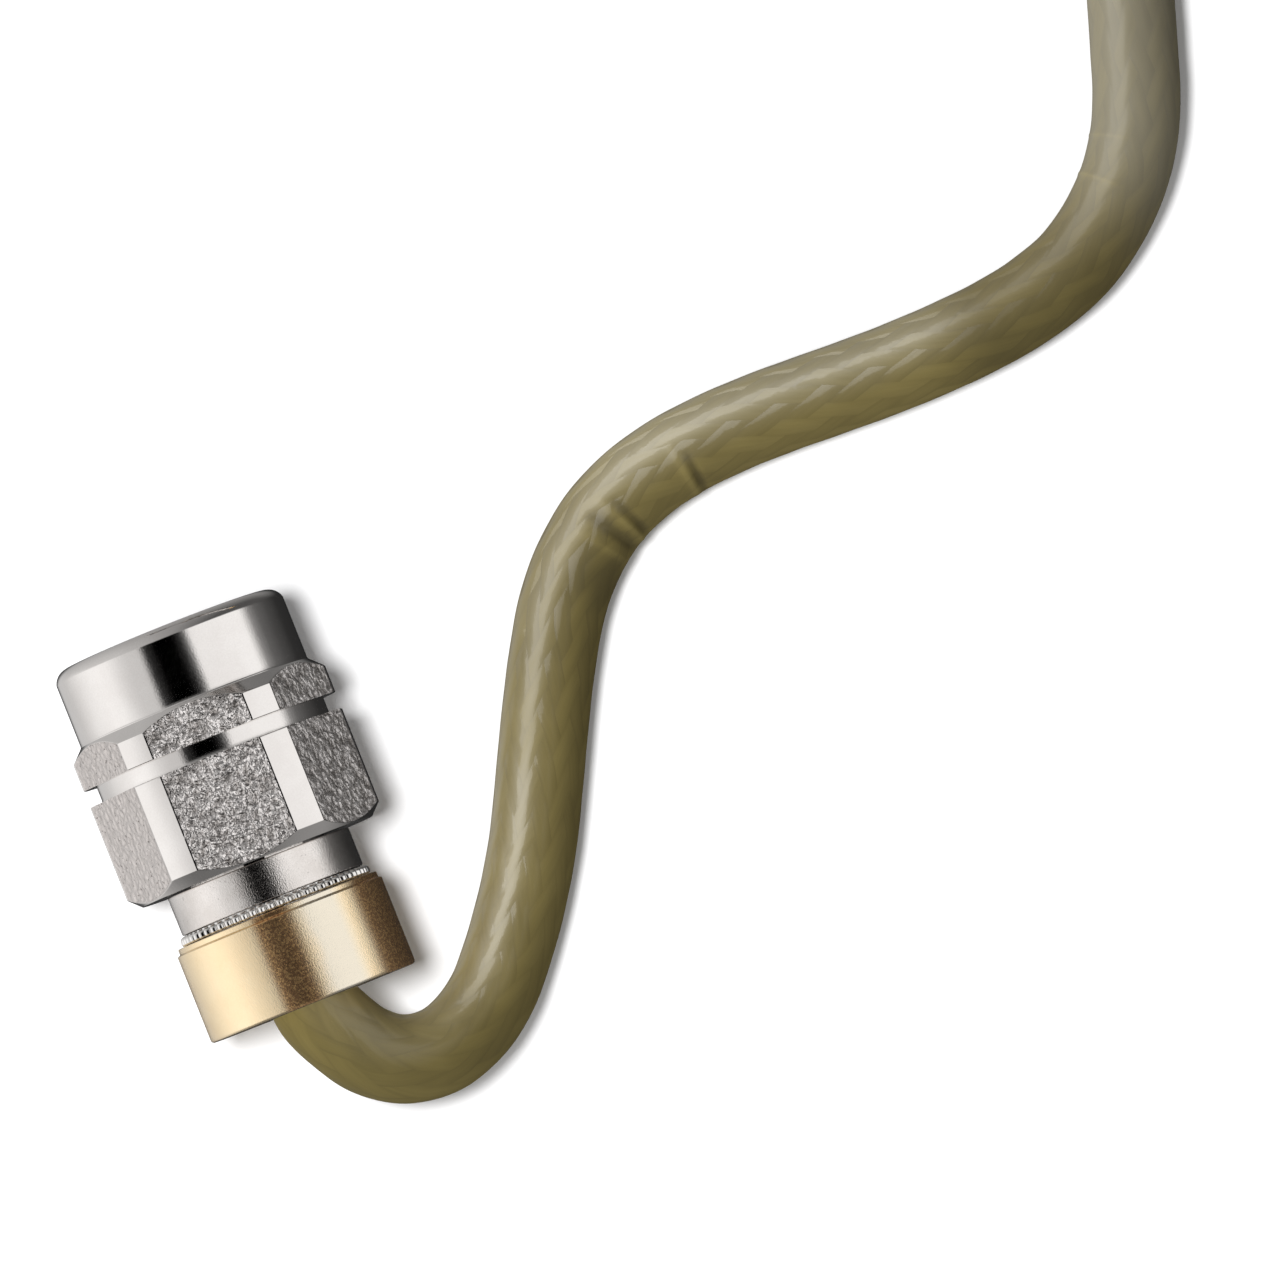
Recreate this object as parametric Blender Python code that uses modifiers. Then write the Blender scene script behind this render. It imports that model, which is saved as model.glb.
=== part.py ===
"""Cable release with a screw-on coupling: a plunger at one end pushes a wire
through a braided cable, and the wire pushes a pin out of a guide inside the
coupling nut at the other end.

Units are metres, +Z is up and z = 0 is the surface that everything lies on.
The coupling's axis runs along Y with its open mouth towards +Y, the plunger's
axis runs along X with its button towards -X.
"""
import math

import bmesh
import bpy
from mathutils import Matrix, Vector

MM = 0.001

# ---------------------------------------------------------------- dimensions
# All in millimetres. Coupling: y is measured from the end ring's bottom face.
HEX_AF = 11.30            # across the flats
LAND_R = 6.15             # turned corners of the hexagon
RING_R = 5.54             # turned ring at the mouth, and the groove's floor
COUPLING_L = 18.26        # end ring's bottom face to the mouth
HEX_BOTTOM, HEX_TOP = 6.92, 14.69
GROOVE = (12.00, 12.79)
RIM_FILLET = 0.55
THREAD_MAJOR_R, THREAD_MINOR_R, THREAD_PITCH = 4.50, 4.25, 1.0
NECK_R = 4.41
TOOTH_TIP_R, TOOTH_ROOT_R, TEETH = 4.605, 4.42, 64
GOLD_R = 4.985
CABLE_R = 2.05
CABLE_HOLE_R = 2.22

# Plunger: s is measured from its cable end towards the button.
PLUNGER_L = 50.0
COLLAR_R = 5.4
BARREL_R = 4.6
REST_W, REST_T = 20.0, 2.5
TRAVEL = 6.0
SCREW_S = 34.6

# Where the axes lie before everything is shifted to the common origin.
COUPLING_AXIS_Z = HEX_AF / 2
PLUNGER_X, PLUNGER_Y, PLUNGER_AXIS_Z = 44.0, 61.4, COLLAR_R
# The origin is under the middle of the coupling and the plunger together.
ORIGIN_X = (PLUNGER_X - LAND_R) / 2
ORIGIN_Y = (0.0 + PLUNGER_Y + REST_W / 2) / 2

# The direction in which the cable runs on to its loop, and across it.
LEAN = math.radians(21.8)
ALONG = Vector((math.sin(LEAN), math.cos(LEAN), 0))
ACROSS = Vector((math.cos(LEAN), -math.sin(LEAN), 0))
LOOP_R = 21.0
LOOP_START = Vector((58.72, 47.66, 0))
LOOP_CENTRE = LOOP_START + LOOP_R * ACROSS

SEG = 40                  # sides of a turned piece


# ------------------------------------------------------------------- helpers
for o in list(bpy.data.objects):
    bpy.data.objects.remove(o, do_unlink=True)

PARTS = bpy.data.collections.new("cable_shutter_release")
CUTTERS = bpy.data.collections.new("cutters")
for c in (PARTS, CUTTERS):
    bpy.context.scene.collection.children.link(c)


def material(name, colour, roughness, metallic):
    m = bpy.data.materials.new(name)
    m.use_nodes = True
    b = m.node_tree.nodes["Principled BSDF"]
    b.inputs["Base Color"].default_value = (*colour, 1)
    b.inputs["Roughness"].default_value = roughness
    b.inputs["Metallic"].default_value = metallic
    return m


STEEL = material("satin_steel", (0.62, 0.61, 0.59), 0.35, 1)
BLASTED = material("blasted_steel", (0.50, 0.49, 0.47), 0.55, 1)
GOLD = material("gilt_brass", (0.80, 0.62, 0.34), 0.35, 1)
BRASS = material("brass", (0.72, 0.55, 0.28), 0.4, 1)
JACKET = material("olive_braid", (0.20, 0.19, 0.08), 0.45, 0)
RUBBER = material("black_rubber", (0.03, 0.03, 0.03), 0.8, 0)
CHROME = material("bright_steel", (0.75, 0.75, 0.75), 0.15, 1)


def own(mat, name):
    m = mat.copy()
    m.name = name + "_" + mat.name
    return m


def shade(mesh):
    mesh.shade_smooth()
    mesh.set_sharp_from_angle(angle=math.radians(35))


def empty(name, location, rotation=(0, 0, 0), parent=None):
    e = bpy.data.objects.new(name, None)
    e.empty_display_size = 5 * MM
    e.location = [v * MM for v in location]
    e.rotation_euler = rotation
    e.parent = parent
    PARTS.objects.link(e)
    return e


def place(o, parent, mat, collection=None):
    (collection or PARTS).objects.link(o)
    o.parent = parent
    if mat is not None:
        o.data.materials.append(own(mat, o.name))
    return o


def turned(name, profile, parent, mat, steps=SEG, collection=None):
    """A profile of (radius, height) that runs down its outer side and up its
    inner side, turned about the parent's Z axis. It is closed unless it
    starts and ends on the axis."""
    mesh = bpy.data.meshes.new(name)
    verts = [(r * MM, 0, z * MM) for r, z in profile]
    edges = [(i, i + 1) for i in range(len(profile) - 1)]
    if profile[0][0] > 0:
        edges.append((len(profile) - 1, 0))
    mesh.from_pydata(verts, edges, [])
    o = place(bpy.data.objects.new(name, mesh), parent, mat, collection)
    s = o.modifiers.new("turn", "SCREW")
    s.axis = "Z"
    s.angle = math.tau
    s.steps = s.render_steps = steps
    s.use_merge_vertices = True
    s.merge_threshold = 1e-6
    s.use_smooth_shade = True
    return o


def settled(o):
    """Turns an object with modifiers, or a curve, into a plain mesh object."""
    dg = bpy.context.evaluated_depsgraph_get()
    dg.update()
    mesh = bpy.data.meshes.new_from_object(o.evaluated_get(dg))
    bm = bmesh.new()
    bm.from_mesh(mesh)
    bmesh.ops.remove_doubles(bm, verts=bm.verts, dist=1e-6)
    bm.to_mesh(mesh)
    bm.free()
    name, parent, coll, basis = o.name, o.parent, o.users_collection[0], o.matrix_basis.copy()
    bpy.data.objects.remove(o, do_unlink=True)
    n = bpy.data.objects.new(name, mesh)
    n.name = name
    coll.objects.link(n)
    n.parent = parent
    n.matrix_basis = basis
    return n


def cylinder_cutter(name, radius, low, high, parent, sides=24, at=(0, 0)):
    mesh = bpy.data.meshes.new(name)
    bm = bmesh.new()
    bmesh.ops.create_cone(
        bm, cap_ends=True, segments=sides, radius1=radius * MM, radius2=radius * MM,
        depth=(high - low) * MM,
        matrix=Matrix.Translation((at[0] * MM, at[1] * MM, (low + high) / 2 * MM)),
    )
    bm.to_mesh(mesh)
    bm.free()
    o = place(bpy.data.objects.new(name, mesh), parent, None, CUTTERS)
    o.hide_render = True
    o.display_type = "WIRE"
    return o


def boolean(o, cutter, operation="DIFFERENCE"):
    b = o.modifiers.new("cut", "BOOLEAN")
    b.operation = operation
    b.object = cutter
    b.solver = "EXACT"
    return o


def extruded(name, outlines, low, high, parent, mat):
    """Flat outlines (the first one outside, the others holes) between two
    heights on the parent's Z axis."""
    curve = bpy.data.curves.new(name, "CURVE")
    curve.dimensions = "2D"
    curve.fill_mode = "BOTH"
    curve.extrude = (high - low) / 2 * MM
    for points in outlines:
        s = curve.splines.new("POLY")
        s.points.add(len(points) - 1)
        for p, (x, y) in zip(s.points, points):
            p.co = (x * MM, y * MM, 0, 1)
        s.use_cyclic_u = True
    o = place(bpy.data.objects.new(name, curve), parent, mat)
    o.location = (0, 0, (low + high) / 2 * MM)
    return o


def circle(radius, count, phase=0.0):
    return [
        (radius * math.cos(phase + math.tau * i / count),
         radius * math.sin(phase + math.tau * i / count))
        for i in range(count)
    ]


def zigzag(tip, root, teeth):
    """The outline of a ring of fine straight V-shaped teeth."""
    out = []
    for i in range(teeth):
        a = math.tau * i / teeth
        b = a + math.pi / teeth
        out += [(tip * math.cos(a), tip * math.sin(a)),
                (root * math.cos(b), root * math.sin(b))]
    return out


def wire_curve(name, points, radius, parent, mat, resolution=2):
    curve = bpy.data.curves.new(name, "CURVE")
    curve.dimensions = "3D"
    curve.bevel_depth = radius * MM
    curve.bevel_resolution = resolution
    curve.use_fill_caps = True
    s = curve.splines.new("POLY")
    s.points.add(len(points) - 1)
    for p, co in zip(s.points, points):
        p.co = (co[0] * MM, co[1] * MM, co[2] * MM, 1)
    return place(bpy.data.objects.new(name, curve), parent, mat)


# ---------------------------------------------------------------------- axes
coupling = empty(
    "coupling_axis", (-ORIGIN_X, -ORIGIN_Y, COUPLING_AXIS_Z), (-math.pi / 2, 0, 0))
nut_axis = empty("nut_spin_axis", (0, 0, 0), parent=coupling)
pin_axis = empty("pin_travel_axis", (0, 0, 0), parent=coupling)
plunger = empty(
    "plunger_axis", (PLUNGER_X - ORIGIN_X, PLUNGER_Y - ORIGIN_Y, PLUNGER_AXIS_Z),
    (0, -math.pi / 2, 0))
button_axis = empty("button_travel_axis", (0, 0, 0), parent=plunger)
screw_axis = empty(
    "lock_screw_axis",
    (PLUNGER_X - SCREW_S - ORIGIN_X, PLUNGER_Y - ORIGIN_Y, PLUNGER_AXIS_Z))
ground = empty("ground", (-ORIGIN_X, -ORIGIN_Y, 0))


# -------------------------------------------------------------- coupling nut
def rounded_rim(r, top, fillet, count=3):
    """Down over the outer edge of a rim, from its flat top to its side."""
    return [
        (r - fillet + fillet * math.sin(a), top - fillet + fillet * math.cos(a))
        for a in (math.pi / 2 * i / count for i in range(count + 1))
    ]


edge = 0.06               # small chamfers on turned edges
outer = rounded_rim(RING_R, COUPLING_L, RIM_FILLET)
outer += [
    (RING_R, HEX_TOP),
    (LAND_R, HEX_TOP - (LAND_R - RING_R)),
    (LAND_R, GROOVE[1] + edge), (LAND_R - edge, GROOVE[1]),
    (RING_R, GROOVE[1]), (RING_R, GROOVE[0]),
    (LAND_R - edge, GROOVE[0]), (LAND_R, GROOVE[0] - edge),
    (LAND_R, HEX_BOTTOM + 0.53), (LAND_R - 0.53, HEX_BOTTOM),
]
inner = [(3.35, HEX_BOTTOM), (3.35, 9.93), (4.15, 9.93), (4.15, 12.2),
         (THREAD_MAJOR_R + 0.05, 12.3), (THREAD_MAJOR_R + 0.05, 12.95)]
y = 13.05
while y + THREAD_PITCH < COUPLING_L - 0.4:
    inner += [(THREAD_MINOR_R, y), (THREAD_MINOR_R, y + 0.15),
              (THREAD_MAJOR_R, y + 0.45)]
    y += THREAD_PITCH
inner += [(THREAD_MINOR_R, y), (THREAD_MINOR_R, COUPLING_L - 0.37),
          (THREAD_MINOR_R + 0.37, COUPLING_L)]
nut = turned("coupling_nut", outer + inner, nut_axis, BLASTED, steps=48)
nut = settled(nut)
hexagon = cylinder_cutter(
    "hexagon", HEX_AF / 2 / math.cos(math.pi / 6), -2, 24, nut_axis, sides=6)
# A vertex of the prism points sideways, so that two flats face up and down.
hexagon.rotation_euler = (0, 0, math.pi / 6)
boolean(nut, hexagon, "INTERSECT")
nut = settled(nut)
nut.data.materials.clear()
nut.data.materials.append(own(BLASTED, "coupling_nut"))
shade(nut.data)

# ---------------------------------------------- swivel tube, neck and washers
turned("swivel_tube", [
    (4.05, 11.4), (4.05, 10.2), (3.27, 10.2), (3.27, 1.4),
    (2.72, 1.4), (2.72, 5.3), (1.2, 5.3), (1.2, 8.4), (2.62, 8.4), (2.62, 11.4),
], coupling, STEEL)
turned("thrust_washer", [
    (4.05, 10.16), (4.05, 9.98), (3.33, 9.98), (3.33, 10.16)], coupling, BRASS)
turned("neck_collar", [
    (NECK_R - 0.06, 6.86), (NECK_R, 6.80), (NECK_R, 5.09), (NECK_R - 0.06, 5.03),
    (3.33, 5.03), (3.33, 6.86)], coupling, STEEL)
extruded("toothed_ring", [zigzag(TOOTH_TIP_R, TOOTH_ROOT_R, TEETH), circle(3.33, SEG)],
         4.57, 4.99, coupling, CHROME)
turned("end_ring", [
    (GOLD_R - 0.145, 4.53), (GOLD_R - 0.145, 4.28), (GOLD_R, 4.22),
    (GOLD_R, 0.18), (GOLD_R - 0.18, 0.0),
    (CABLE_HOLE_R, 0.0), (CABLE_HOLE_R, 1.1), (3.33, 1.1), (3.33, 4.53),
], coupling, GOLD, steps=48)

# ------------------------------------------------- cable end inside the tube
turned("conduit_end_front", [
    (1.5, 5.2), (1.5, 1.2), (0.75, 1.2), (0.75, 5.2)], coupling, CHROME, steps=32)
turned("crimp_sleeve_front", [
    (2.66, 5.2), (2.66, 1.5), (1.58, 1.5), (1.58, 5.2)], coupling, BRASS, steps=32)
turned("core_wire_front", [
    (0, 5.55), (0.5, 5.55), (0.5, 1.2), (0, 1.2)], pin_axis, CHROME, steps=16)
turned("release_pin", [
    (0, 12.4), (0.6, 12.4), (0.9, 12.1), (0.9, 5.62), (0, 5.62)],
    pin_axis, CHROME, steps=32)
turned("pin_guide", [
    (3.0, 12.0), (3.2, 11.85), (3.2, 11.46), (2.57, 11.46), (2.57, 8.5),
    (0.97, 8.5), (0.97, 12.0)], coupling, BRASS)

# ------------------------------------------------------------ plunger barrel
turned("plunger_ferrule", [
    (4.05, 4.9), (4.15, 4.8), (4.15, 0.3), (3.9, 0.0), (CABLE_HOLE_R, 0.0),
    (CABLE_HOLE_R, 1.1), (3.12, 1.1), (3.12, 4.9)], plunger, GOLD)
turned("plunger_barrel", [
    (3.6, 33.0), (3.6, 30.0), (4.1, 30.0), (4.1, 27.4), (BARREL_R - 0.1, 27.4),
    (BARREL_R, 27.3), (BARREL_R, 5.3), (4.3, 5.0), (3.07, 5.0), (3.07, 1.3),
    (2.72, 1.3), (2.72, 5.2), (0.8, 5.2), (0.8, 8.6), (3.0, 8.6), (3.0, 33.0),
], plunger, STEEL)
turned("conduit_end_rear", [
    (1.5, 5.1), (1.5, 1.2), (0.75, 1.2), (0.75, 5.1)], plunger, CHROME, steps=32)
turned("crimp_sleeve_rear", [
    (2.66, 5.1), (2.66, 1.5), (1.58, 1.5), (1.58, 5.1)], plunger, BRASS, steps=32)

# The finger rest is an oval plate that lies on its flat long edge.
mesh = bpy.data.meshes.new("finger_rest")
bm = bmesh.new()
bmesh.ops.create_cube(bm, size=1.0)
bmesh.ops.scale(bm, vec=(2 * COLLAR_R * MM, REST_W * MM, REST_T * MM), verts=bm.verts)
bmesh.ops.bevel(
    bm, geom=[e for e in bm.edges if abs(e.verts[0].co.z - e.verts[1].co.z) > MM],
    offset=4.6 * MM, segments=8, profile=0.5, affect="EDGES")
bmesh.ops.bevel(
    bm, geom=[e for e in bm.edges if e.calc_face_angle(0) > math.radians(60)],
    offset=0.5 * MM, segments=2, profile=0.5, affect="EDGES")
bm.to_mesh(mesh)
bm.free()
rest = place(bpy.data.objects.new("finger_rest", mesh), plunger, STEEL)
rest.location = (0, 0, (27.45 + REST_T / 2) * MM)
shade(mesh)
boolean(rest, cylinder_cutter("barrel_spigot", 4.16, 26, 31, plunger, sides=SEG))

screw_hole = cylinder_cutter("lock_screw_hole", 1.05, 0.3, 7.0, screw_axis, sides=24)
collar = settled(turned("end_collar", [
    (5.1, 36.0), (COLLAR_R, 35.7), (COLLAR_R, 30.35), (5.1, 30.05),
    (3.66, 30.05), (3.66, 33.1), (2.65, 33.1), (2.65, 36.0)], plunger, None))
collar.data.materials.append(own(STEEL, "end_collar"))
shade(collar.data)
boolean(collar, screw_hole)
bush = settled(turned("rod_bush", [
    (2.6, 35.95), (2.6, 33.2), (1.68, 33.2), (1.68, 35.95)], plunger, None))
bush.data.materials.append(own(BRASS, "rod_bush"))
shade(bush.data)
boolean(bush, screw_hole)
turned("bumper_washer", [
    (2.9, 33.1), (2.9, 32.6), (1.7, 32.6), (1.7, 33.1)], plunger, RUBBER)

# -------------------------------------------------- what the thumb pushes in
turned("thumb_button", [
    (0, 49.6), (2.0, 49.6), (3.9, 49.92), (4.4, 50.0), (4.75, 49.7), (4.75, 47.7),
    (4.45, 47.3), (2.7, 46.5), (2.5, 43.2), (2.2, 42.9), (1.66, 42.9),
    (1.66, 45.3), (0, 45.3)], button_axis, STEEL)
turned("plunger_rod", [
    (0, 45.2), (1.4, 45.2), (1.6, 45.0), (1.6, 28.9), (1.4, 28.7), (0, 28.7)],
    button_axis, CHROME)
turned("piston", [
    (2.9, 32.5), (2.9, 29.4), (1.66, 29.4), (1.66, 32.5)], button_axis, BRASS)
turned("wire_clamp", [
    (0, 28.6), (1.2, 28.6), (1.2, 25.3), (1.0, 25.1), (0.56, 25.1), (0.56, 27.2),
    (0, 27.2)], button_axis, BRASS, steps=32)
turned("core_wire_rear", [
    (0, 27.1), (0.5, 27.1), (0.5, 7.4), (0, 7.4)], button_axis, CHROME, steps=16)

SPRING_LOW, SPRING_HIGH, SPRING_TURNS, SPRING_R = 8.98, 29.08, 9, 2.45
coil = []
for i in range(SPRING_TURNS * 12 + 1):
    a = math.tau * i / 12
    coil.append((SPRING_R * math.cos(a), SPRING_R * math.sin(a),
                 SPRING_LOW + (SPRING_HIGH - SPRING_LOW) * i / (SPRING_TURNS * 12)))
wire_curve("return_spring", coil, 0.28, plunger, CHROME, resolution=1)

# ----------------------------------------------------------------- lock screw
screw_top = COLLAR_R + 0.5   # room for the screw's feed of 0.4
head = extruded("lock_screw", [zigzag(2.5, 2.3, 28)], screw_top, screw_top + 2.3,
                screw_axis, None)
head = settled(head)
shank = cylinder_cutter("lock_screw_shank", 0.98, 2.75, screw_top + 0.2, screw_axis, sides=28)
boolean(head, shank, "UNION")
head.data.materials.append(own(STEEL, "lock_screw"))
turned("lock_pad", [(0, 2.7), (0.8, 2.7), (0.8, 2.05), (0, 2.05)],
       screw_axis, BRASS, steps=24)

# --------------------------------------------------------------------- cable
# The route's points from inside the end ring: a tight bend out of the coupling,
# back past it, and over a rise and a fall to the loop. They are given as seen
# from SEEN_FROM, against the plane of the coupling's axis.
SEEN_FROM = (19.7, -3.3, 455.65)
PLAN = [
    (0.0, 0.75), (0.08, -0.3), (0.7, -1.7), (1.5, -2.9), (2.8, -3.85), (4.5, -4.12),
    (6.17, -3.62), (7.64, -2.63), (8.9, -1.27), (10.5, 0.82), (11.94, 3.08), (13.22, 5.5),
    (14.44, 7.88), (15.74, 10.28), (17.2, 12.6), (18.6, 14.18), (20.4, 15.58),
    (22.4, 16.48), (24.5, 16.98), (26.9, 17.2), (29.4, 17.22), (32.1, 17.12),
    (34.8, 17.04), (37.6, 17.08), (40.3, 17.28), (42.42, 17.66), (44.58, 18.38),
    (46.5, 19.6), (48.1, 21.11), (49.32, 22.84), (50.12, 24.55), (50.8, 26.55),
]


def smooth(t):
    t = min(max(t, 0.0), 1.0)
    return t * t * (3 - 2 * t)


def through(points, step):
    """Evenly spaced points on a smooth curve through the route's points."""
    pts = [Vector(p) for p in points]
    pts = [2 * pts[0] - pts[1]] + pts + [2 * pts[-1] - pts[-2]]
    fine = []
    for a, b, c, d in zip(pts, pts[1:], pts[2:], pts[3:]):
        ta = 0.0
        tb = ta + (b - a).length ** 0.5
        tc = tb + (c - b).length ** 0.5
        td = tc + (d - c).length ** 0.5
        for i in range(16):
            t = tb + (tc - tb) * i / 16
            ab = a * ((tb - t) / (tb - ta)) + b * ((t - ta) / (tb - ta))
            bc = b * ((tc - t) / (tc - tb)) + c * ((t - tb) / (tc - tb))
            cd = c * ((td - t) / (td - tc)) + d * ((t - tc) / (td - tc))
            abc = ab * ((tc - t) / (tc - ta)) + bc * ((t - ta) / (tc - ta))
            bcd = bc * ((td - t) / (td - tb)) + cd * ((t - tb) / (td - tb))
            fine.append(abc * ((tc - t) / (tc - tb)) + bcd * ((t - tb) / (tc - tb)))
    fine.append(pts[-2])
    out, left = [fine[0]], step
    for p, q in zip(fine, fine[1:]):
        seg = (q - p).length
        at = 0.0
        while seg - at >= left:
            at += left
            out.append(p.lerp(q, at / seg))
            left = step
        left -= seg - at
    if (out[-1] - fine[-1]).length > 0.3 * step:
        out.append(fine[-1])
    else:
        out[-1] = fine[-1]
    return out


LIE = CABLE_R + 0.03      # height of the cable's centre where it lies flat
OVER = 3 * CABLE_R + 0.2  # and where it lies on another length of cable

route, gone, last = [], 0.0, None
for x, yy in PLAN:
    if last is not None:
        gone += math.hypot(x - last[0], yy - last[1])
    last = (x, yy)
    z = COUPLING_AXIS_Z + (LIE - COUPLING_AXIS_Z) * smooth((gone - 0.8) / 14.0)
    k = (SEEN_FROM[2] - z) / (SEEN_FROM[2] - COUPLING_AXIS_Z)
    route.append(Vector((SEEN_FROM[0] + (x - SEEN_FROM[0]) * k,
                         SEEN_FROM[1] + (yy - SEEN_FROM[1]) * k, z)))
for i in (1, 2, 3, 4, 5):
    p = LOOP_START - ALONG * (20.0 * (1 - i / 5))
    if i > 1:
        route.append(Vector((p.x, p.y, LIE)))
lead_in = len(route) - 1
TURN_STEPS = 24
for i in range(1, TURN_STEPS + 1):
    a = math.pi - LEAN - math.tau * i / TURN_STEPS
    climb = smooth((i / TURN_STEPS - 0.70) / 0.20)
    route.append(Vector((
        LOOP_CENTRE.x + LOOP_R * math.cos(a), LOOP_CENTRE.y + LOOP_R * math.sin(a),
        LIE + (OVER - LIE) * climb)))
turn_end = len(route) - 1
# Off the loop, round to the plunger, sagging between the two.
BEND_R = 10.0
centre = LOOP_START - BEND_R * ACROSS
for i in range(1, 7):
    a = -LEAN + (math.pi / 2 + LEAN) * i / 6
    x = centre.x + BEND_R * math.cos(a)
    yy = centre.y + (PLUNGER_Y - centre.y) * math.sin(a) if a > 0 else centre.y + BEND_R * math.sin(a)
    t = max(i / 7 - 0.36, 0) / 0.64
    z = OVER + (PLUNGER_AXIS_Z - OVER) * t - 2.3 * math.sin(math.pi * t) ** 1.2
    route.append(Vector((x, yy, z)))
route += [Vector((PLUNGER_X + 2.2, PLUNGER_Y, PLUNGER_AXIS_Z - 0.25)),
          Vector((PLUNGER_X - 0.75, PLUNGER_Y, PLUNGER_AXIS_Z))]


def stretch(points, bend_step=1.2, step=4.5, bend=14.0):
    """Fewer points where the cable runs gently, more in the bend by the
    coupling."""
    fine = through(points, 0.3)
    out, since, gone = [fine[0]], 0.0, 0.0
    for p, q in zip(fine, fine[1:]):
        gone += (q - p).length
        since += (q - p).length
        if since >= (bend_step if gone < bend else step):
            out.append(q)
            since = 0.0
    if (out[-1] - fine[-1]).length < 1.0:
        out[-1] = fine[-1]
    else:
        out.append(fine[-1])
    return out


full = through(route, 1.0)
length = sum((b - a).length for a, b in zip(full, full[1:]))

# The tube along the open stretch stops where its side would touch the loop.
near = math.sqrt((LOOP_R + CABLE_R + 0.35) ** 2 - (LOOP_R - CABLE_R) ** 2)
run = [p for p in route[:lead_in + 1]]
run = [p for p in run if (p - LOOP_START).to_2d().dot(ALONG.to_2d()) < -near - 0.5]
stop = LOOP_START - ALONG * near
run.append(Vector((stop.x, stop.y, LIE)))
wire_curve("cable_run", stretch(run), CABLE_R, ground, JACKET)

loop_axis = empty("loop_axis", LOOP_CENTRE, parent=ground)
corner = 1.0
ring = []
for cx, cz, start in ((LOOP_R + CABLE_R - corner, 4.0 - corner, math.pi / 2),
                      (LOOP_R + CABLE_R - corner, corner, 0.0),
                      (LOOP_R - CABLE_R + corner, corner, -math.pi / 2),
                      (LOOP_R - CABLE_R + corner, 4.0 - corner, -math.pi)):
    ring += [(cx + corner * math.cos(start - math.pi / 2 * k / 2),
              cz + corner * math.sin(start - math.pi / 2 * k / 2)) for k in range(3)]
turned("cable_loop", ring, loop_axis, JACKET, steps=56)

tail = route[turn_end - 1:]
wire_curve("cable_tail", stretch(tail, 2.4, 3.0, 60.0), CABLE_R, ground, JACKET)
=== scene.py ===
import math

import bmesh
import bpy
import numpy as np
from mathutils import Matrix, Vector, noise


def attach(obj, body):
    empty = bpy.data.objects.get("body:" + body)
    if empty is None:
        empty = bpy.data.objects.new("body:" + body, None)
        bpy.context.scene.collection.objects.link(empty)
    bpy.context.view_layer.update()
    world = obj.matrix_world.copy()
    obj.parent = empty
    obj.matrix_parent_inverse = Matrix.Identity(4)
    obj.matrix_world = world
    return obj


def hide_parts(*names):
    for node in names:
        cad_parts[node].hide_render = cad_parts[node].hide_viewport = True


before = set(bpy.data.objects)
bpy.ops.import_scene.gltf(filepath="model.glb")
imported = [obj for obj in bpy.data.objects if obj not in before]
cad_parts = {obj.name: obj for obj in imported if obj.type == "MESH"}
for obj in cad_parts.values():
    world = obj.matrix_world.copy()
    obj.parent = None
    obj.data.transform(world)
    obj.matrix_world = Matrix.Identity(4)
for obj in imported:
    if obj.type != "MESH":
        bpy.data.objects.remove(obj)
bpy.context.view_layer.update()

MM = 0.001

# ---------------------------------------------------------------- dimensions
# Millimetres. The coupling's pieces are given by their distance from its axis
# and by y, the height over the gold end ring's bottom face; the plunger's by s,
# the distance from its cable end.
ORIGIN_X, ORIGIN_Y = 18.925, 35.7
AXIS_X, AXIS_Z = -18.925, 5.65
PLUNGER_X, PLUNGER_Y, PLUNGER_Z = 25.075, 25.7, 5.4
SCREW_X = PLUNGER_X - 34.6

FLAT_R, LAND_R, RING_R = 5.65, 6.15, 5.54
HEX_BOTTOM, HEX_TOP, LENGTH = 6.92, 14.69, 18.26
GROOVE_LOW, GROOVE_HIGH = 12.00, 12.79
CABLE_R = 2.05


# ============================================================ camera and stage
def add_camera():
    cam = bpy.data.cameras.new("camera")
    cam.sensor_width = 36
    cam.lens = 281.7
    cam.clip_start, cam.clip_end = 0.01, 20
    o = bpy.data.objects.new("camera", cam)
    bpy.context.scene.collection.objects.link(o)
    at = Vector((0.775, -39.0, 455.65)) * MM
    target = Vector((0.775, -25.43, 5.65)) * MM
    back = (at - target).normalized()
    right = Vector((0.3714, 0.9285, 0)).cross(back).normalized()
    up = back.cross(right)
    m = Matrix((right, up, back)).transposed().to_4x4()
    m.translation = at
    o.matrix_world = m
    bpy.context.scene.camera = o
    return o


camera = add_camera()
# The picture's right and up, in the plane of the floor.
PIC_RIGHT = Vector((0.9285, -0.3714, 0)).normalized()
PIC_UP = Vector((0.3714, 0.9285, 0)).normalized()


# ======================================================================= route
def smooth(t):
    t = min(max(t, 0.0), 1.0)
    return t * t * (3 - 2 * t)


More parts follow.
